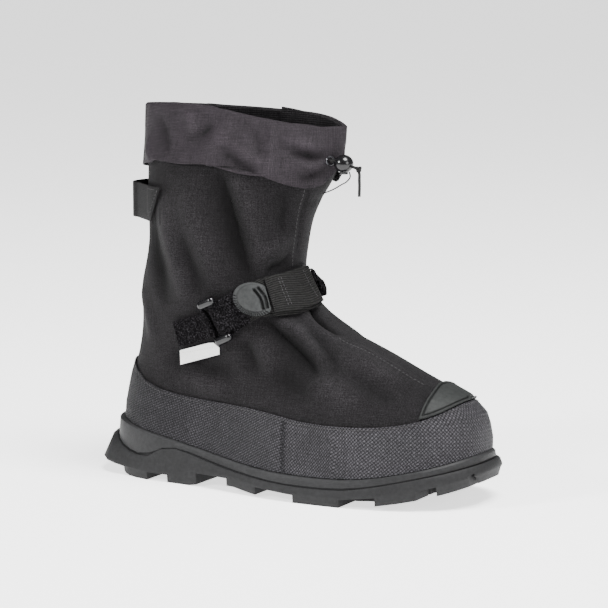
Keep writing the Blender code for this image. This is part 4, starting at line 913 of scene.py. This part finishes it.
# Cuff: a turned-down band of plain-woven coated nylon, lighter than the upper and a little purple.
# It is folded over the collar's rim and hangs free outside, with soft wrinkles where the cord pulls.
CUFF_COLOUR = (0.0172, 0.014, 0.0168, 1.0)
CUFF_CREASES = [
    # Across the outer side, from the rim down towards the front
    Crease(0.0038, 0.003, 1.5, [(0.076, -0.039, 0.265), (0.096, -0.0375, 0.253), (0.115, -0.034, 0.243)]),
    Crease(0.0075, -0.0034, 1.3, [(0.068, -0.0405, 0.262), (0.088, -0.04, 0.25),
        (0.104, -0.038, 0.242)], 0.5),
    Crease(0.0024, 0.002, 1.4, [(0.11, -0.0285, 0.28), (0.11, -0.031, 0.264), (0.1105, -0.035, 0.246)]),
    Crease(0.005, -0.0022, 1.4, [(0.096, -0.033, 0.274), (0.101, -0.035, 0.262),
        (0.103, -0.037, 0.254)], 0.5),
    # Gathers that run to the eyelet
    Crease(0.0042, 0.0032, 1.6, [(0.118, -0.028, 0.268), (0.133, -0.0225, 0.264), (0.146, -0.015, 0.26)]),
    Crease(0.0052, -0.0042, 1.3, [(0.124, -0.027, 0.26), (0.138, -0.0205, 0.256),
        (0.149, -0.013, 0.2535)], 0.7),
    Crease(0.0042, 0.0032, 1.6, [(0.126, -0.028, 0.25), (0.138, -0.022, 0.248), (0.148, -0.014, 0.249)]),
    Crease(0.0048, -0.0036, 1.3, [(0.131, -0.0255, 0.239), (0.142, -0.018, 0.242),
        (0.149, -0.0125, 0.246)], 0.7),
    # Rear half
    Crease(0.0042, 0.003, 1.6, [(0.036, -0.0335, 0.286), (0.043, -0.035, 0.278), (0.049, -0.0365, 0.27)]),
    Crease(0.0068, -0.0034, 1.3, [(0.044, -0.0375, 0.264), (0.053, -0.037, 0.271),
        (0.064, -0.0355, 0.279)], 0.5),
    Crease(0.0085, 0.0024, 1.8, [(0.058, -0.042, 0.256), (0.07, -0.039, 0.269), (0.08, -0.035, 0.28)]),
    Crease(0.008, -0.003, 1.4, [(0.011, -0.027, 0.281), (0.019, -0.033, 0.265),
        (0.024, -0.0375, 0.252)], 0.5),
    Crease(0.0044, 0.0026, 1.6, [(-0.003, -0.024, 0.264), (0.002, -0.0275, 0.252), (0.01, -0.032, 0.246)]),
    # Inner side
    Crease(0.006, -0.003, 1.4, [(0.07, 0.038, 0.266), (0.09, 0.038, 0.256), (0.108, 0.036, 0.246)]),
    Crease(0.005, 0.003, 1.6, [(0.076, 0.037, 0.272), (0.096, 0.036, 0.262), (0.114, 0.033, 0.252)]),
    Crease(0.0055, -0.0034, 1.4, [(0.124, 0.027, 0.259), (0.138, 0.02, 0.256), (0.149, 0.012, 0.254)]),
    Crease(0.007, -0.0028, 1.6, [(0.016, 0.03, 0.28), (0.026, 0.036, 0.264), (0.04, 0.04, 0.254)]),
]
CUFF_WAVE = 0.0011
CUFF_WAVE_LENGTH = 0.047
CUFF_WAVE_TOP = 0.262
CUFF_HEM = 0.236
CUFF_INSIDE = -0.2
HEM_DROPS = [
    RimDrop(0.082, 0.0), RimDrop(0.1, 0.0023), RimDrop(0.117, 0.0036), RimDrop(0.135, 0.0014),
    RimDrop(0.146, 0.0),
]

cuff = smooth_copy("cuff", "cuff_folded", levels=3)
cuff_places, _ = mesh_points(cuff)
cuff_low = np.clip((CUFF_WAVE_TOP - cuff_places[:, 2]) / (CUFF_WAVE_TOP - CUFF_HEM), 0.0, 1.0)
cuff_drop = np.interp(cuff_places[:, 0], *zip(*HEM_DROPS))
cuff_wave = CUFF_WAVE * np.sin(2.0 * math.pi * cuff_places[:, 0] / CUFF_WAVE_LENGTH)
cuff_places[:, 2] += cuff_low * (cuff_wave - np.where(cuff_places[:, 1] < 0.0, cuff_drop, 0.0))
set_points(cuff, cuff_places)
drop_rim(cuff)
fold_cloth(cuff, CUFF_CREASES)
cloth_map(cuff)
cuff_nylon = cloth_material(
    "cuff_nylon_coated", CUFF_COLOUR, pitch=0.0011, roughness=0.55, relief=0.0002,
    mottling=0.4, speckle=1.2, fold_shading=0.6)
set_shader(cuff_nylon, {"Specular IOR Level": 0.1})
cuff.data.materials.append(cuff_nylon)
cuff.data.materials.append(fleece)
use_second_material(cuff, facing_out(cuff) < CUFF_INSIDE)
dress(cuff, None, "cuff_nylon", "cuff")


# Collar flap: a strip of the fleece lining, sewn inside the collar's inner side.
# It stands a little above the rim from the middle of the shaft to the front.
FLAP_LINE = [
    (0.088, 0.0252, 0.288), (0.1, 0.0232, 0.2868), (0.115, 0.0195, 0.2848), (0.13, 0.0146, 0.2824),
    (0.14, 0.01, 0.2804), (0.147, 0.006, 0.2788),
]
FLAP_DEPTH = 0.013
FLAP_WALL = 0.0016
FLAP_SAMPLES = 40
FLAP_BEVEL = 0.0005

flap_line = smooth_route(FLAP_LINE, FLAP_SAMPLES)
flap_corners = [*flap_line, *(flap_line - np.array((0.0, 0.0, FLAP_DEPTH)))]
flap_faces = []
for step in range(FLAP_SAMPLES - 1):
    flap_faces.append((step, step + 1, FLAP_SAMPLES + step + 1, FLAP_SAMPLES + step))
flap = mesh_piece("collar_flap_fleece", flap_corners, flap_faces)
apply_modifier(flap, "SOLIDIFY", thickness=FLAP_WALL, offset=0.0)
round_edges(flap, FLAP_BEVEL, angle=50.0)
cloth_map(flap)
dress(flap, fleece, "shell_nylon")


# Pull loop: a short length of black webbing sewn flat to both sides of the shaft's back.
# Its feet are cut on a slant, and a finger goes behind it to pull the overshoe on.
TAPE_COLOUR = (0.003, 0.0028, 0.0031, 1.0)
LOOP_LEVELS = (0.2005, 0.228)
LOOP_FOOT_TURNS = (129.0, 152.0)
LOOP_SLANT = 14.0
LOOP_ANGLES = (133.0, 148.0)
LOOP_MARGIN = 0.0022
LOOP_FOOT_REACH = 0.06
LOOP_END_ANGLES = (132.0, 139.0, 146.0)
TAPE_RIB_LENGTH = 1.6
TAPE_SHADE = (0.5, 0.65)


def tape_material(name, colour, rib_pitch):
    """Woven tape with ribs across it, on a UV map in metres."""
    material, tree, shader, place = new_material(name, roughness=0.8, specular=0.2)
    cloth = shader_node(tree, "ShaderNodeUVMap").outputs["UV"]
    threads = use_group(tree, weave, {"Vector": cloth, "Pitch": rib_pitch, "Length": TAPE_RIB_LENGTH})
    tone = mottled(tree, place, colour, size=0.002, amount=0.8)
    gaps = calculate(tree, "MULTIPLY_ADD", threads["Height"], *TAPE_SHADE)
    finish_surface(tree, shader, scaled(tree, tone["Colour"], gaps), threads["Height"], distance=0.0002)
    return material


def round_shaft(angle, reach, level, side=1.0):
    """A place beside the shaft: an angle from the front in degrees, a reach from its axis and a level."""
    turn = math.radians(angle)
    return (SHAFT_AXIS_X + reach * math.cos(turn), -side * reach * math.sin(turn), level)


loop = smooth_copy("pull_loop", "pull_loop_webbing")
loop_places, _ = mesh_points(loop)
loop_turn = np.degrees(np.arctan2(abs(loop_places[:, 1]), loop_places[:, 0] - SHAFT_AXIS_X))
loop_reach = np.hypot(loop_places[:, 1], loop_places[:, 0] - SHAFT_AXIS_X)
loop_foot = loop_turn < LOOP_FOOT_TURNS[1]
loop_end = np.clip((LOOP_FOOT_TURNS[1] - loop_turn) / (LOOP_FOOT_TURNS[1] - LOOP_FOOT_TURNS[0]), 0.0, 1.0)
loop_low = np.clip((LOOP_LEVELS[1] - loop_places[:, 2]) / (LOOP_LEVELS[1] - LOOP_LEVELS[0]), 0.0, 1.0)
loop_bend = np.polyfit(loop_turn[loop_foot], loop_reach[loop_foot], 3)
loop_moved = loop_turn + LOOP_SLANT * loop_end * loop_low
loop_reach += np.where(loop_foot, np.polyval(loop_bend, loop_moved) - np.polyval(loop_bend, loop_turn), 0.0)
loop_side = np.sign(loop_places[:, 1])
loop_places[:, 0] = SHAFT_AXIS_X + loop_reach * np.cos(np.radians(loop_moved))
loop_places[:, 1] = loop_side * loop_reach * np.sin(np.radians(loop_moved))
set_points(loop, loop_places)
cloth_map(loop)
loop_fore, loop_rear = LOOP_ANGLES
loop_bottom, loop_top = LOOP_LEVELS[0] + LOOP_MARGIN, LOOP_LEVELS[1] - LOOP_MARGIN
loop_top_row = [(loop_rear, loop_top), ((loop_fore + loop_rear) / 2.0, loop_top), (loop_fore, loop_top)]
loop_end_levels = (loop_top, (loop_top + loop_bottom) / 2.0, loop_bottom)
loop_end_row = list(zip(LOOP_END_ANGLES, loop_end_levels))
loop_rows = []
for side in (-1.0, 1.0):
    for row in (loop_top_row, loop_end_row):
        loop_rows.append([round_shaft(angle, LOOP_FOOT_REACH, level, side) for angle, level in row])
loop_stitches = stitch_rows("pull_loop_stitches", loop_rows, loop, STITCH, STITCH_GAP, THREAD)
dress(loop_stitches, thread, "tape")
dress(loop, tape_material("loop_webbing", TAPE_COLOUR, rib_pitch=0.0014), "tape", "pull_loop")


# Strap set: fuzzy loop tape anchors a black ring on each side of the instep, and a ribbed elastic
# strap runs between the rings, folded back on itself and sewn down near its fuzzy end.
ELASTIC_COLOUR = (0.0105, 0.0101, 0.0097, 1.0)
ELASTIC_GAP_SHADE_COLOUR = (0.0016, 0.0016, 0.0016, 1.0)
ELASTIC_RIB = 0.0016
PLASTIC_COLOUR = (0.004, 0.004, 0.0045, 1.0)
PLASTIC_WEAR = 0.2
ANKLE_JOIN = math.radians(-100.0)
FUZZ_TURN = math.radians(45.0)
FUZZ_SHARPNESS = 5.0
FUZZ_TIP_HIGHLIGHT = 66.0
FUZZ_GROUND_SHADE = 0.05
RING_HALF = 0.0152
STRAP_STITCH_ANGLES = (24.0, 22.0, 3.5)
STRAP_LEVELS = (0.152, 0.1525, 0.156)
STRAP_LEAN = 1.5
STRAP_STITCH = 0.8
STRAP_HALF = 0.0112
STRAP_REACH = 0.078
STRAP_SAG = 0.0028
UNDER_DEPTH = 0.0017
UNDER_DROP = 0.0034
STRAP_SAG_SPAN = (0.108, 0.128)
STRAP_END_LEVEL = 0.1592
STRAP_PULL = 0.0032
TAPE_BOW = 0.004
TAPE_DROP = 0.0085
RING_REACH = 0.0046
RING_END = 0.0035
RING_END_HALF = 0.0046
RING_END_SHIFT = 0.003
RING_END_RISE = 0.0016
RING_FRONT_WIDTH = 0.6
RING_BOW = 0.003
FOLD_RADIUS = 0.0021
FOLD_HALF = 0.0112


def settle(piece, bow=0.0, drop=0.0, pull=0.0):
    """Set the strap's front down on the instep: bowed, its upper edge dropped, its lower corner pulled."""
    places, _ = mesh_points(piece)
    span = STRAP_SAG_SPAN[1] - STRAP_SAG_SPAN[0]
    front = np.clip((places[:, 0] - STRAP_SAG_SPAN[0]) / span, 0.0, 1.0)
    rise = np.clip((places[:, 2] - STRAP_END_LEVEL) / STRAP_HALF, -1.0, 1.0)
    low = pull * np.maximum(-rise, 0.0)
    places[:, 0] += front * (bow * (1.0 - rise ** 2) + low)
    places[:, 2] -= front * (STRAP_SAG + low) + drop * np.maximum(rise, 0.0)
    set_points(piece, places)


def capsule(name, middle, axis, half, radius):
    """A round-ended bar."""
    bpy.ops.mesh.primitive_uv_sphere_add(segments=24, ring_count=15, radius=radius)
    piece = bpy.context.object
    piece.name = name
    places, _ = mesh_points(piece)
    places[:, 2] += np.sign(places[:, 2]) * half
    turn = Vector((0.0, 0.0, 1.0)).rotation_difference(Vector(axis))
    set_points(piece, np.array([turn @ Vector(place) for place in places]) + np.array(middle))
    bpy.ops.object.shade_smooth()
    return piece


def ankle_map(piece):
    """A UV map in metres along and across a tape that goes round the ankle."""
    places, _ = mesh_points(piece)
    turn = np.arctan2(-places[:, 1], places[:, 0] - SHAFT_AXIS_X)
    turn = np.unwrap(np.where(turn < ANKLE_JOIN, turn + 2.0 * math.pi, turn))
    reach = np.hypot(places[:, 1], places[:, 0] - SHAFT_AXIS_X).mean()
    bend = np.polyfit(turn, places[:, 2], 4)
    layer = piece.data.uv_layers.new(name="tape")
    corners = np.empty(len(piece.data.loops), int)
    piece.data.loops.foreach_get("vertex_index", corners)
    along = turn * reach
    across = places[:, 2] - np.polyval(bend, turn)
    layer.data.foreach_set("uv", np.stack([along[corners], across[corners]], axis=1).ravel())


def fuzz_material(name, colour):
    """Napped loop tape: painted highlights on the ends of its loops over painted shade on its ground."""
    material, tree, shader, place = new_material(name, roughness=0.95, specular=0.03)
    tone = mottled(tree, place, colour, size=0.0012, amount=1.0)
    # Painted highlights on the loop ends, painted shade on the ground between them.
    tips = calculate(tree, "POWER", tone["Value"], FUZZ_SHARPNESS)
    gain = calculate(tree, "MULTIPLY_ADD", tips, FUZZ_TIP_HIGHLIGHT, FUZZ_GROUND_SHADE)
    finish_surface(tree, shader, scaled(tree, tone["Colour"], gain), tone["Value"], distance=0.003)
    return material


def plastic_material(name, colour, roughness):
    """Glossy moulded plastic."""
    material, tree, shader, place = new_material(name, roughness, specular=0.4)
    tone = mottled(tree, place, colour, size=0.004, amount=0.3)
    worn = calculate(tree, "MULTIPLY_ADD", tone["Value"], PLASTIC_WEAR, roughness - PLASTIC_WEAR / 2.0)
    tree.links.new(tone["Colour"], shader.inputs["Base Color"])
    tree.links.new(worn, shader.inputs["Roughness"])
    return material


loop_tape = fuzz_material("loop_tape_napped", TAPE_COLOUR)
for node in ("strap_anchor", "front_anchor"):
    tape = smooth_copy(node, node + "_tape")
    settle(tape, bow=TAPE_BOW, drop=TAPE_DROP)
    ankle_map(tape)
    dress(tape, loop_tape, "tape", node)
strap = smooth_copy("instep_strap", "instep_strap_elastic")
settle(strap, pull=STRAP_PULL)
ankle_map(strap)
elastic, elastic_tree, elastic_shader, elastic_place = new_material(
    "elastic_ribbed", roughness=0.8, specular=0.15)
elastic_uv = shader_node(elastic_tree, "ShaderNodeUVMap").outputs["UV"]
elastic_across = shader_node(elastic_tree, "ShaderNodeSeparateXYZ", {0: elastic_uv}).outputs[1]
elastic_rib = ribs(elastic_tree, elastic_across, ELASTIC_RIB)
elastic_tone = mottled(elastic_tree, elastic_place, ELASTIC_COLOUR, size=0.002, amount=1.4)
# Painted shade between the ribs.
elastic_shade = blend_colours(elastic_tree, elastic_rib, ELASTIC_GAP_SHADE_COLOUR, elastic_tone["Colour"])
finish_surface(elastic_tree, elastic_shader, elastic_shade, elastic_rib, distance=0.0005)
strap.data.materials.append(elastic)
strap.data.materials.append(loop_tape)
strap_centres = face_values(strap, "center")
strap_turn = np.arctan2(-strap_centres[:, 1], strap_centres[:, 0] - SHAFT_AXIS_X)
use_second_material(strap, strap_turn > FUZZ_TURN)
under = strap.copy()
under.data = strap.data.copy()
under.name = "instep_strap_under_layer"
bpy.context.collection.objects.link(under)
under_places, _ = mesh_points(under)
under_places -= away_from_foot(under_places) * UNDER_DEPTH
set_points(under, under_places - np.array((0.0, 0.0, UNDER_DROP)))
dress(under, None, "webbing")
strap_rows = []
for angle, level in zip(STRAP_STITCH_ANGLES, STRAP_LEVELS):
    strap_rows.append([
        round_shaft(angle + STRAP_LEAN * part, STRAP_REACH, level + STRAP_HALF * part)
        for part in (1.0, 0.0, -1.0)])
strap_stitches = stitch_rows(
    "strap_stitches", strap_rows, strap, STITCH * STRAP_STITCH, STITCH_GAP * STRAP_STITCH, THREAD)
dress(strap_stitches, thread, "webbing")
dress(strap, None, "webbing", "instep_strap")
ring_plastic = plastic_material("ring_plastic_gloss", PLASTIC_COLOUR, roughness=0.2)
for node in ("side_ring", "front_ring"):
    ring = smooth_copy(node, node + "_rod")
    settle(ring)
    ring_places, _ = mesh_points(ring)
    ring_middle = ring_places.mean(axis=0)
    ring_axes = np.linalg.eigh(np.cov((ring_places - ring_middle).T))[1]
    ring_along = ring_axes[:, 1] * np.sign(ring_axes[0, 1])
    ring_across = ring_axes[:, 2]
    ring_width = 1.0
    if node == "front_ring":
        ring_width = RING_FRONT_WIDTH
        spread = (ring_places - ring_middle) @ ring_across
        bow = np.where((ring_places - ring_middle) @ ring_along > 0.0, 1.0 - (spread / RING_HALF) ** 2, 0.0)
        ring_places -= np.outer(spread * (1.0 - ring_width), ring_across)
        set_points(ring, ring_places + np.outer(RING_BOW * np.clip(bow, 0.0, 1.0), ring_along))
    dress(ring, ring_plastic, "ring_plastic", node)
    for number, end in enumerate((-1.0, 1.0)):
        if node == "side_ring":
            ring_away = ring_axes[:, 0] * np.sign(ring_axes[:, 0] @ away_from_foot(ring_middle[None])[0])
            corner = ring_middle + ring_across * end * RING_HALF + ring_along * RING_END_SHIFT
            corner = corner + ring_away * RING_END_RISE
            bar = capsule(f"{node}_end_{number}", corner, ring_along, RING_END_HALF, RING_END)
            dress(bar, ring_plastic, "ring_plastic")
        middle = ring_middle + ring_along * end * RING_REACH
        fold = capsule(f"{node}_tape_fold_{number}", middle, ring_across, FOLD_HALF * ring_width, FOLD_RADIUS)
        dress(fold, loop_tape, "tape")


# Pull tab: a grey rubber tab moulded on the strap's free end, an oval cut off straight at the strap.
# A ribbed rim gives grip round the free side of its flat face, and two curved slots lie near the strap.
TAB_COLOUR = (0.0292, 0.0305, 0.0305, 1.0)
TAB_WALL = 0.0032
TAB_ALONG = Vector((0.63, 0.67, 0.4))
TAB_CROWN_HALF = 0.012
TAB_CROWN_SAMPLES = 9
TAB_OVAL_HALVES = (0.0162, 0.0125)
TAB_OVAL_MIDDLE = (0.003, -0.0004)
TAB_OVAL_TURN = math.radians(-41.0)
TAB_STRAP_EDGE = 0.0138
TAB_STRAP_SLANT = 0.2
TAB_MIDDLE = (0.0012, -0.0012)
TAB_TURNS = 288
TAB_RINGS = 44
TAB_ROUNDING = 11
TAB_RIM = 0.78
TAB_RIM_SWING = 0.1
TAB_RIM_TURN = math.radians(222.0)
TAB_GROOVE_WIDTH = 0.03
TAB_FACE_SOFT = 0.05
TAB_FACE_RISE = 0.0006
TAB_RIM_FALL = 0.0017
TAB_RIBS = 44
TAB_RIB_RISE = 0.0008
TAB_RIB_ANGLES = (math.radians(132.0), math.radians(306.0))
TAB_GROOVE_DEPTH = 0.0004
TAB_SLOTS = [
    [(0.0065, 0.0058), (0.0079, -0.002), (0.0065, -0.0098)],
    [(0.01, 0.0056), (0.0113, -0.0025), (0.0096, -0.0104)],
]
TAB_SLOT_HALF = 0.0011
TAB_SLOT_DEPTH = 0.0022
TAB_GROOVE_SHADE = 0.5
TAB_RIB_SHADE = 0.9

tab_solid = np.array([vert.co for vert in cad["pull_tab"].data.vertices])
tab_middle = tab_solid.mean(axis=0)
tab_away = np.linalg.eigh(np.cov((tab_solid - tab_middle).T))[1][:, 0]
tab_away *= np.sign(tab_away @ away_from_foot(tab_middle[None])[0])
tab_along = np.array(TAB_ALONG) - tab_away * (np.array(TAB_ALONG) @ tab_away)
tab_along /= np.linalg.norm(tab_along)
tab_across = np.cross(tab_away, tab_along)
tab_axes = np.stack([tab_along, tab_across, tab_away])
tab_local = (tab_solid - tab_middle) @ tab_axes.T
tab_middle = tab_middle + ((tab_local.min(axis=0) + tab_local.max(axis=0)) / 2.0 * (1.0, 1.0, 0.0)) @ tab_axes
tab_tree = surface_tree(cad["pull_tab"])
tab_spans = np.linspace(-TAB_CROWN_HALF, TAB_CROWN_HALF, TAB_CROWN_SAMPLES)
tab_heights = []
for span in tab_spans:
    tab_above = Vector(tab_middle + tab_along * span + tab_away * HIT_REACH)
    tab_heights.append(HIT_REACH - tab_tree.ray_cast(tab_above, Vector(-tab_away))[3])
tab_crown = np.polyfit(tab_spans, tab_heights, 2)
tab_turns = np.linspace(-math.pi, math.pi, TAB_TURNS, endpoint=False)
tab_long = TAB_OVAL_HALVES[0] * np.cos(tab_turns)
tab_wide = TAB_OVAL_HALVES[1] * np.sin(tab_turns)
tab_oval_u = TAB_OVAL_MIDDLE[0] + tab_long * math.cos(TAB_OVAL_TURN) - tab_wide * math.sin(TAB_OVAL_TURN)
tab_oval_v = TAB_OVAL_MIDDLE[1] + tab_long * math.sin(TAB_OVAL_TURN) + tab_wide * math.cos(TAB_OVAL_TURN)
tab_oval_u = np.minimum(tab_oval_u, TAB_STRAP_EDGE + TAB_STRAP_SLANT * tab_oval_v) - TAB_MIDDLE[0]
tab_oval_v = tab_oval_v - TAB_MIDDLE[1]
tab_reach = np.interp(
    tab_turns, np.arctan2(tab_oval_v, tab_oval_u), np.hypot(tab_oval_u, tab_oval_v), period=2.0 * math.pi)
tab_shifts = range(-(TAB_ROUNDING // 2), TAB_ROUNDING // 2 + 1)
tab_reach = sum(np.roll(tab_reach, step) for step in tab_shifts) / TAB_ROUNDING
tab_outs = np.linspace(0.0, 1.0, TAB_RINGS + 1)[1:]
tab_rim_u = TAB_MIDDLE[0] + tab_reach * np.cos(tab_turns)
tab_rim_v = TAB_MIDDLE[1] + tab_reach * np.sin(tab_turns)
tab_u = TAB_MIDDLE[0] + np.outer(tab_outs, tab_reach * np.cos(tab_turns)).ravel()
tab_v = TAB_MIDDLE[1] + np.outer(tab_outs, tab_reach * np.sin(tab_turns)).ravel()
tab_out = np.repeat(tab_outs, TAB_TURNS)
tab_turn = np.tile(np.mod(tab_turns, 2.0 * math.pi), TAB_RINGS)
tab_rim = TAB_RIM - TAB_RIM_SWING * np.cos(tab_turn - TAB_RIM_TURN)
tab_on_rim = np.clip((tab_out - tab_rim) / (1.0 - tab_rim), 0.0, 1.0)
tab_ribbed = (tab_turn > TAB_RIB_ANGLES[0]) & (tab_turn < TAB_RIB_ANGLES[1])
tab_ribs = np.where(tab_ribbed, np.cos(TAB_RIBS * tab_turn), 0.0) * np.sqrt(tab_on_rim)
tab_groove = np.exp(-((tab_out - tab_rim) / TAB_GROOVE_WIDTH) ** 2)
tab_slot = np.zeros(len(tab_u))
for slot in TAB_SLOTS:
    line = smooth_route([(*point, 0.0) for point in slot], ROUTE_SAMPLES)
    gaps = np.hypot(tab_u[:, None] - line[None, :, 0], tab_v[:, None] - line[None, :, 1]).min(axis=1)
    tab_slot = np.maximum(tab_slot, np.exp(-(gaps / TAB_SLOT_HALF) ** 4))
tab_face = np.clip((tab_rim - tab_out) / TAB_FACE_SOFT + 0.5, 0.0, 1.0)
tab_w = np.polyval(tab_crown, tab_u) + TAB_FACE_RISE * tab_face + TAB_RIB_RISE * tab_ribs
tab_w -= TAB_RIM_FALL * tab_on_rim ** 2 + TAB_GROOVE_DEPTH * tab_groove + TAB_SLOT_DEPTH * tab_slot
tab_under = np.polyval(tab_crown, tab_rim_u) - TAB_WALL
tab_height = np.polyval(tab_crown, TAB_MIDDLE[0])
tab_corners = [(*TAB_MIDDLE, tab_height + TAB_FACE_RISE)]
tab_corners += [*zip(tab_u, tab_v, tab_w), *zip(tab_rim_u, tab_rim_v, tab_under)]
tab_corners.append((*TAB_MIDDLE, tab_height - TAB_WALL))
tab_faces = []
tab_edge = 1 + TAB_RINGS * TAB_TURNS
for turn in range(TAB_TURNS):
    after = (turn + 1) % TAB_TURNS
    tab_faces.append((0, 1 + turn, 1 + after))
    for ring_step in range(TAB_RINGS):
        low = 1 + ring_step * TAB_TURNS
        high = low + TAB_TURNS
        tab_faces.append((low + turn, high + turn, high + after, low + after))
    tab_faces.append((tab_edge + turn, len(tab_corners) - 1, tab_edge + after))
tab = mesh_piece("pull_tab_moulding", np.array(tab_corners) @ tab_axes + tab_middle, tab_faces)
# Painted shade in the groove round the face, in the slots and between the ribs.
tab_painted_shade = np.maximum(np.maximum(tab_groove * TAB_GROOVE_SHADE, tab_slot), -TAB_RIB_SHADE * tab_ribs)
mark_groove(tab, np.concatenate(([0.0], tab_painted_shade, np.zeros(TAB_TURNS + 1))))
tab_rubber = rubber_material("tab_rubber_moulded", TAB_COLOUR, roughness=0.58, grain=0.0007)
dress(tab, tab_rubber, "tab_rubber", "pull_tab")


# Side label: a small white woven label, sewn under the anchor with one corner cut away.
# It is a satin ribbon that lies flat on the upper, stitched along its upper and lower edges.
LABEL_COLOUR = (0.86, 0.86, 0.84, 1.0)
LABEL_THREAD_COLOUR = (0.62, 0.62, 0.6, 1.0)
LABEL_X = (0.0378, 0.07)
LABEL_ROWS = [(0.094, 0.1038), (0.1016, 0.1092)]
LABEL_SIDE = -0.044
LABEL_STITCH = 0.7
LABEL_THREAD = 0.6

label = smooth_copy("side_label", "side_label_ribbon", crease=1.0)
cloth_map(label)
label_cloth = cloth_material(
    "label_satin", LABEL_COLOUR, pitch=0.0005, roughness=0.6, relief=0.00008,
    mottling=0.06, speckle=0.12, fold_shading=0.0, streaky=0.15)
label_rows = []
for rear, fore in LABEL_ROWS:
    ends = (LABEL_X[0], LABEL_SIDE, rear), (LABEL_X[1], LABEL_SIDE, fore)
    label_rows.append([ends[0], tuple(np.mean(ends, axis=0)), ends[1]])
label_stitches = stitch_rows(
    "label_stitches", label_rows, label,
    STITCH * LABEL_STITCH, STITCH_GAP * LABEL_STITCH, THREAD * LABEL_THREAD)
dress(label_stitches, thread_material("thread_white_nylon", LABEL_THREAD_COLOUR), "label_cloth")
dress(label, label_cloth, "label_cloth", "side_label")


# Cord lock: a glossy black ball with a spring button below, on a cord that comes from a nickel eyelet.
# The ball grips the cord and keeps the cuff gathered.
EYELET_COLOUR = (0.06, 0.06, 0.065, 1.0)
LOCK_CENTRE = Vector((0.1608, -0.01, 0.25))
LOCK_RADIUS = 0.0073
LOCK_SQUASH = 0.95
BUTTON_LIFT = Vector((0.0, 0.0, 0.0022))

bpy.ops.mesh.primitive_uv_sphere_add(segments=48, ring_count=32, radius=LOCK_RADIUS)
lock = bpy.context.object
lock.name = "cord_lock_ball"
lock_places, _ = mesh_points(lock)
set_points(lock, lock_places * (1.0, 1.0, LOCK_SQUASH) + np.array(LOCK_CENTRE))
bpy.ops.object.shade_smooth()
dress(lock, ring_plastic, "ring_plastic", "cord_lock")
button = smooth_copy("cord_plunger", "cord_lock_button")
button_places, _ = mesh_points(button)
set_points(button, button_places + np.array(BUTTON_LIFT))
dress(button, ring_plastic, "ring_plastic", "cord_plunger")
eyelet = smooth_copy("cord_eyelet", "cord_eyelet_rim")
nickel = plastic_material("eyelet_nickel", EYELET_COLOUR, roughness=0.3)
set_shader(nickel, {"Metallic": 1.0})
dress(eyelet, nickel, "eyelet_metal", "cord_eyelet")


# Drawcord: a braided black cord from the cuff through the ball to an overhand knot, with its tail
# hanging, and a thin elastic strand from the ball's button back to the shaft.
CORD_COLOUR = (0.009, 0.009, 0.009, 1.0)
CORD_RADIUS = 0.0011
STRAND_RADIUS = 0.0005
CORD_SAMPLES = 28
CORD_ROUTE = [
    (0.1502, -0.0117, 0.252), (0.1515, -0.0121, 0.252), (0.1544, -0.01, 0.2517), (0.1608, -0.01, 0.25),
    (0.1672, -0.01, 0.2483), (0.1722, -0.01, 0.2466), (0.174, -0.0102, 0.2437), (0.1743, -0.0106, 0.2395),
    (0.1747, -0.0111, 0.2345), (0.1749, -0.0116, 0.2302), (0.175, -0.012, 0.2262),
]
STRAND_ROUTE = [
    (0.1655, -0.01, 0.2442), (0.1662, -0.0098, 0.2408), (0.1632, -0.0092, 0.237),
    (0.1574, -0.0084, 0.2338), (0.152, -0.0076, 0.2308), (0.1462, -0.0068, 0.2283),
    (0.1412, -0.0062, 0.2265),
]
KNOT_MIDDLE = np.array((0.1734, -0.01, 0.2466))
KNOT_SIZE = 0.00062
KNOT_CORD = 0.0009
KNOT_DEPTH = 1.4
KNOT_SAMPLES = 60
BRAID_SHADE = (0.9, 0.4)


def tube(name, line, radius, closed=False):
    """A round cord along a line, as a mesh."""
    curve = bpy.data.curves.new(name, "CURVE")
    curve.dimensions = "3D"
    curve.bevel_depth = radius
    curve.bevel_resolution = 4
    curve.use_fill_caps = True
    spline = curve.splines.new("POLY")
    spline.points.add(len(line) - 1)
    spline.points.foreach_set("co", np.column_stack([line, np.ones(len(line))]).ravel())
    spline.use_cyclic_u = closed
    piece = bpy.data.objects.new(name, curve)
    bpy.context.collection.objects.link(piece)
    only(piece)
    bpy.ops.object.convert(target="MESH")
    return bpy.context.object


def braid_material(name, colour, pitch):
    """Braided cord: slanted strands that cross along its length."""
    material, tree, shader, place = new_material(name, roughness=0.75, specular=0.2)
    axes = shader_node(tree, "ShaderNodeSeparateXYZ", {0: place}).outputs
    level = calculate(tree, "ADD", axes[0], axes[1])
    waves = []
    for way in ("ADD", "SUBTRACT"):
        slant = calculate(tree, way, level, axes[2])
        waves.append(calculate(tree, "SINE", calculate(tree, "MULTIPLY", slant, 2.0 * math.pi / pitch)))
    strands = calculate(tree, "MULTIPLY_ADD", calculate(tree, "MULTIPLY", *waves), 0.5, 0.5)
    tone = mottled(tree, place, colour, size=0.001, amount=0.8)
    gaps = calculate(tree, "MULTIPLY_ADD", strands, *BRAID_SHADE)
    finish_surface(tree, shader, scaled(tree, tone["Colour"], gaps), strands, distance=0.0002)
    return material


braid = braid_material("cord_braid", CORD_COLOUR, pitch=0.0016)
knot_turn = np.linspace(0.0, 2.0 * math.pi, KNOT_SAMPLES, endpoint=False)
knot_line = KNOT_MIDDLE + KNOT_SIZE * np.column_stack([
    np.sin(knot_turn) + 2.0 * np.sin(2.0 * knot_turn), -np.sin(3.0 * knot_turn) * KNOT_DEPTH,
    np.cos(knot_turn) - 2.0 * np.cos(2.0 * knot_turn)])
knot = tube("drawcord_overhand", knot_line, KNOT_CORD, closed=True)
dress(knot, braid, "cord", "drawcord_knot")
cord_line = smooth_route(CORD_ROUTE, CORD_SAMPLES)
cord = tube("drawcord", cord_line, CORD_RADIUS)
dress(cord, braid, "cord", "drawcord_lead", "drawcord_tail")
strand_line = smooth_route(STRAND_ROUTE, CORD_SAMPLES)
strand = tube("drawcord_thin", strand_line, STRAND_RADIUS)
dress(strand, braid, "cord", "drawcord_strand")
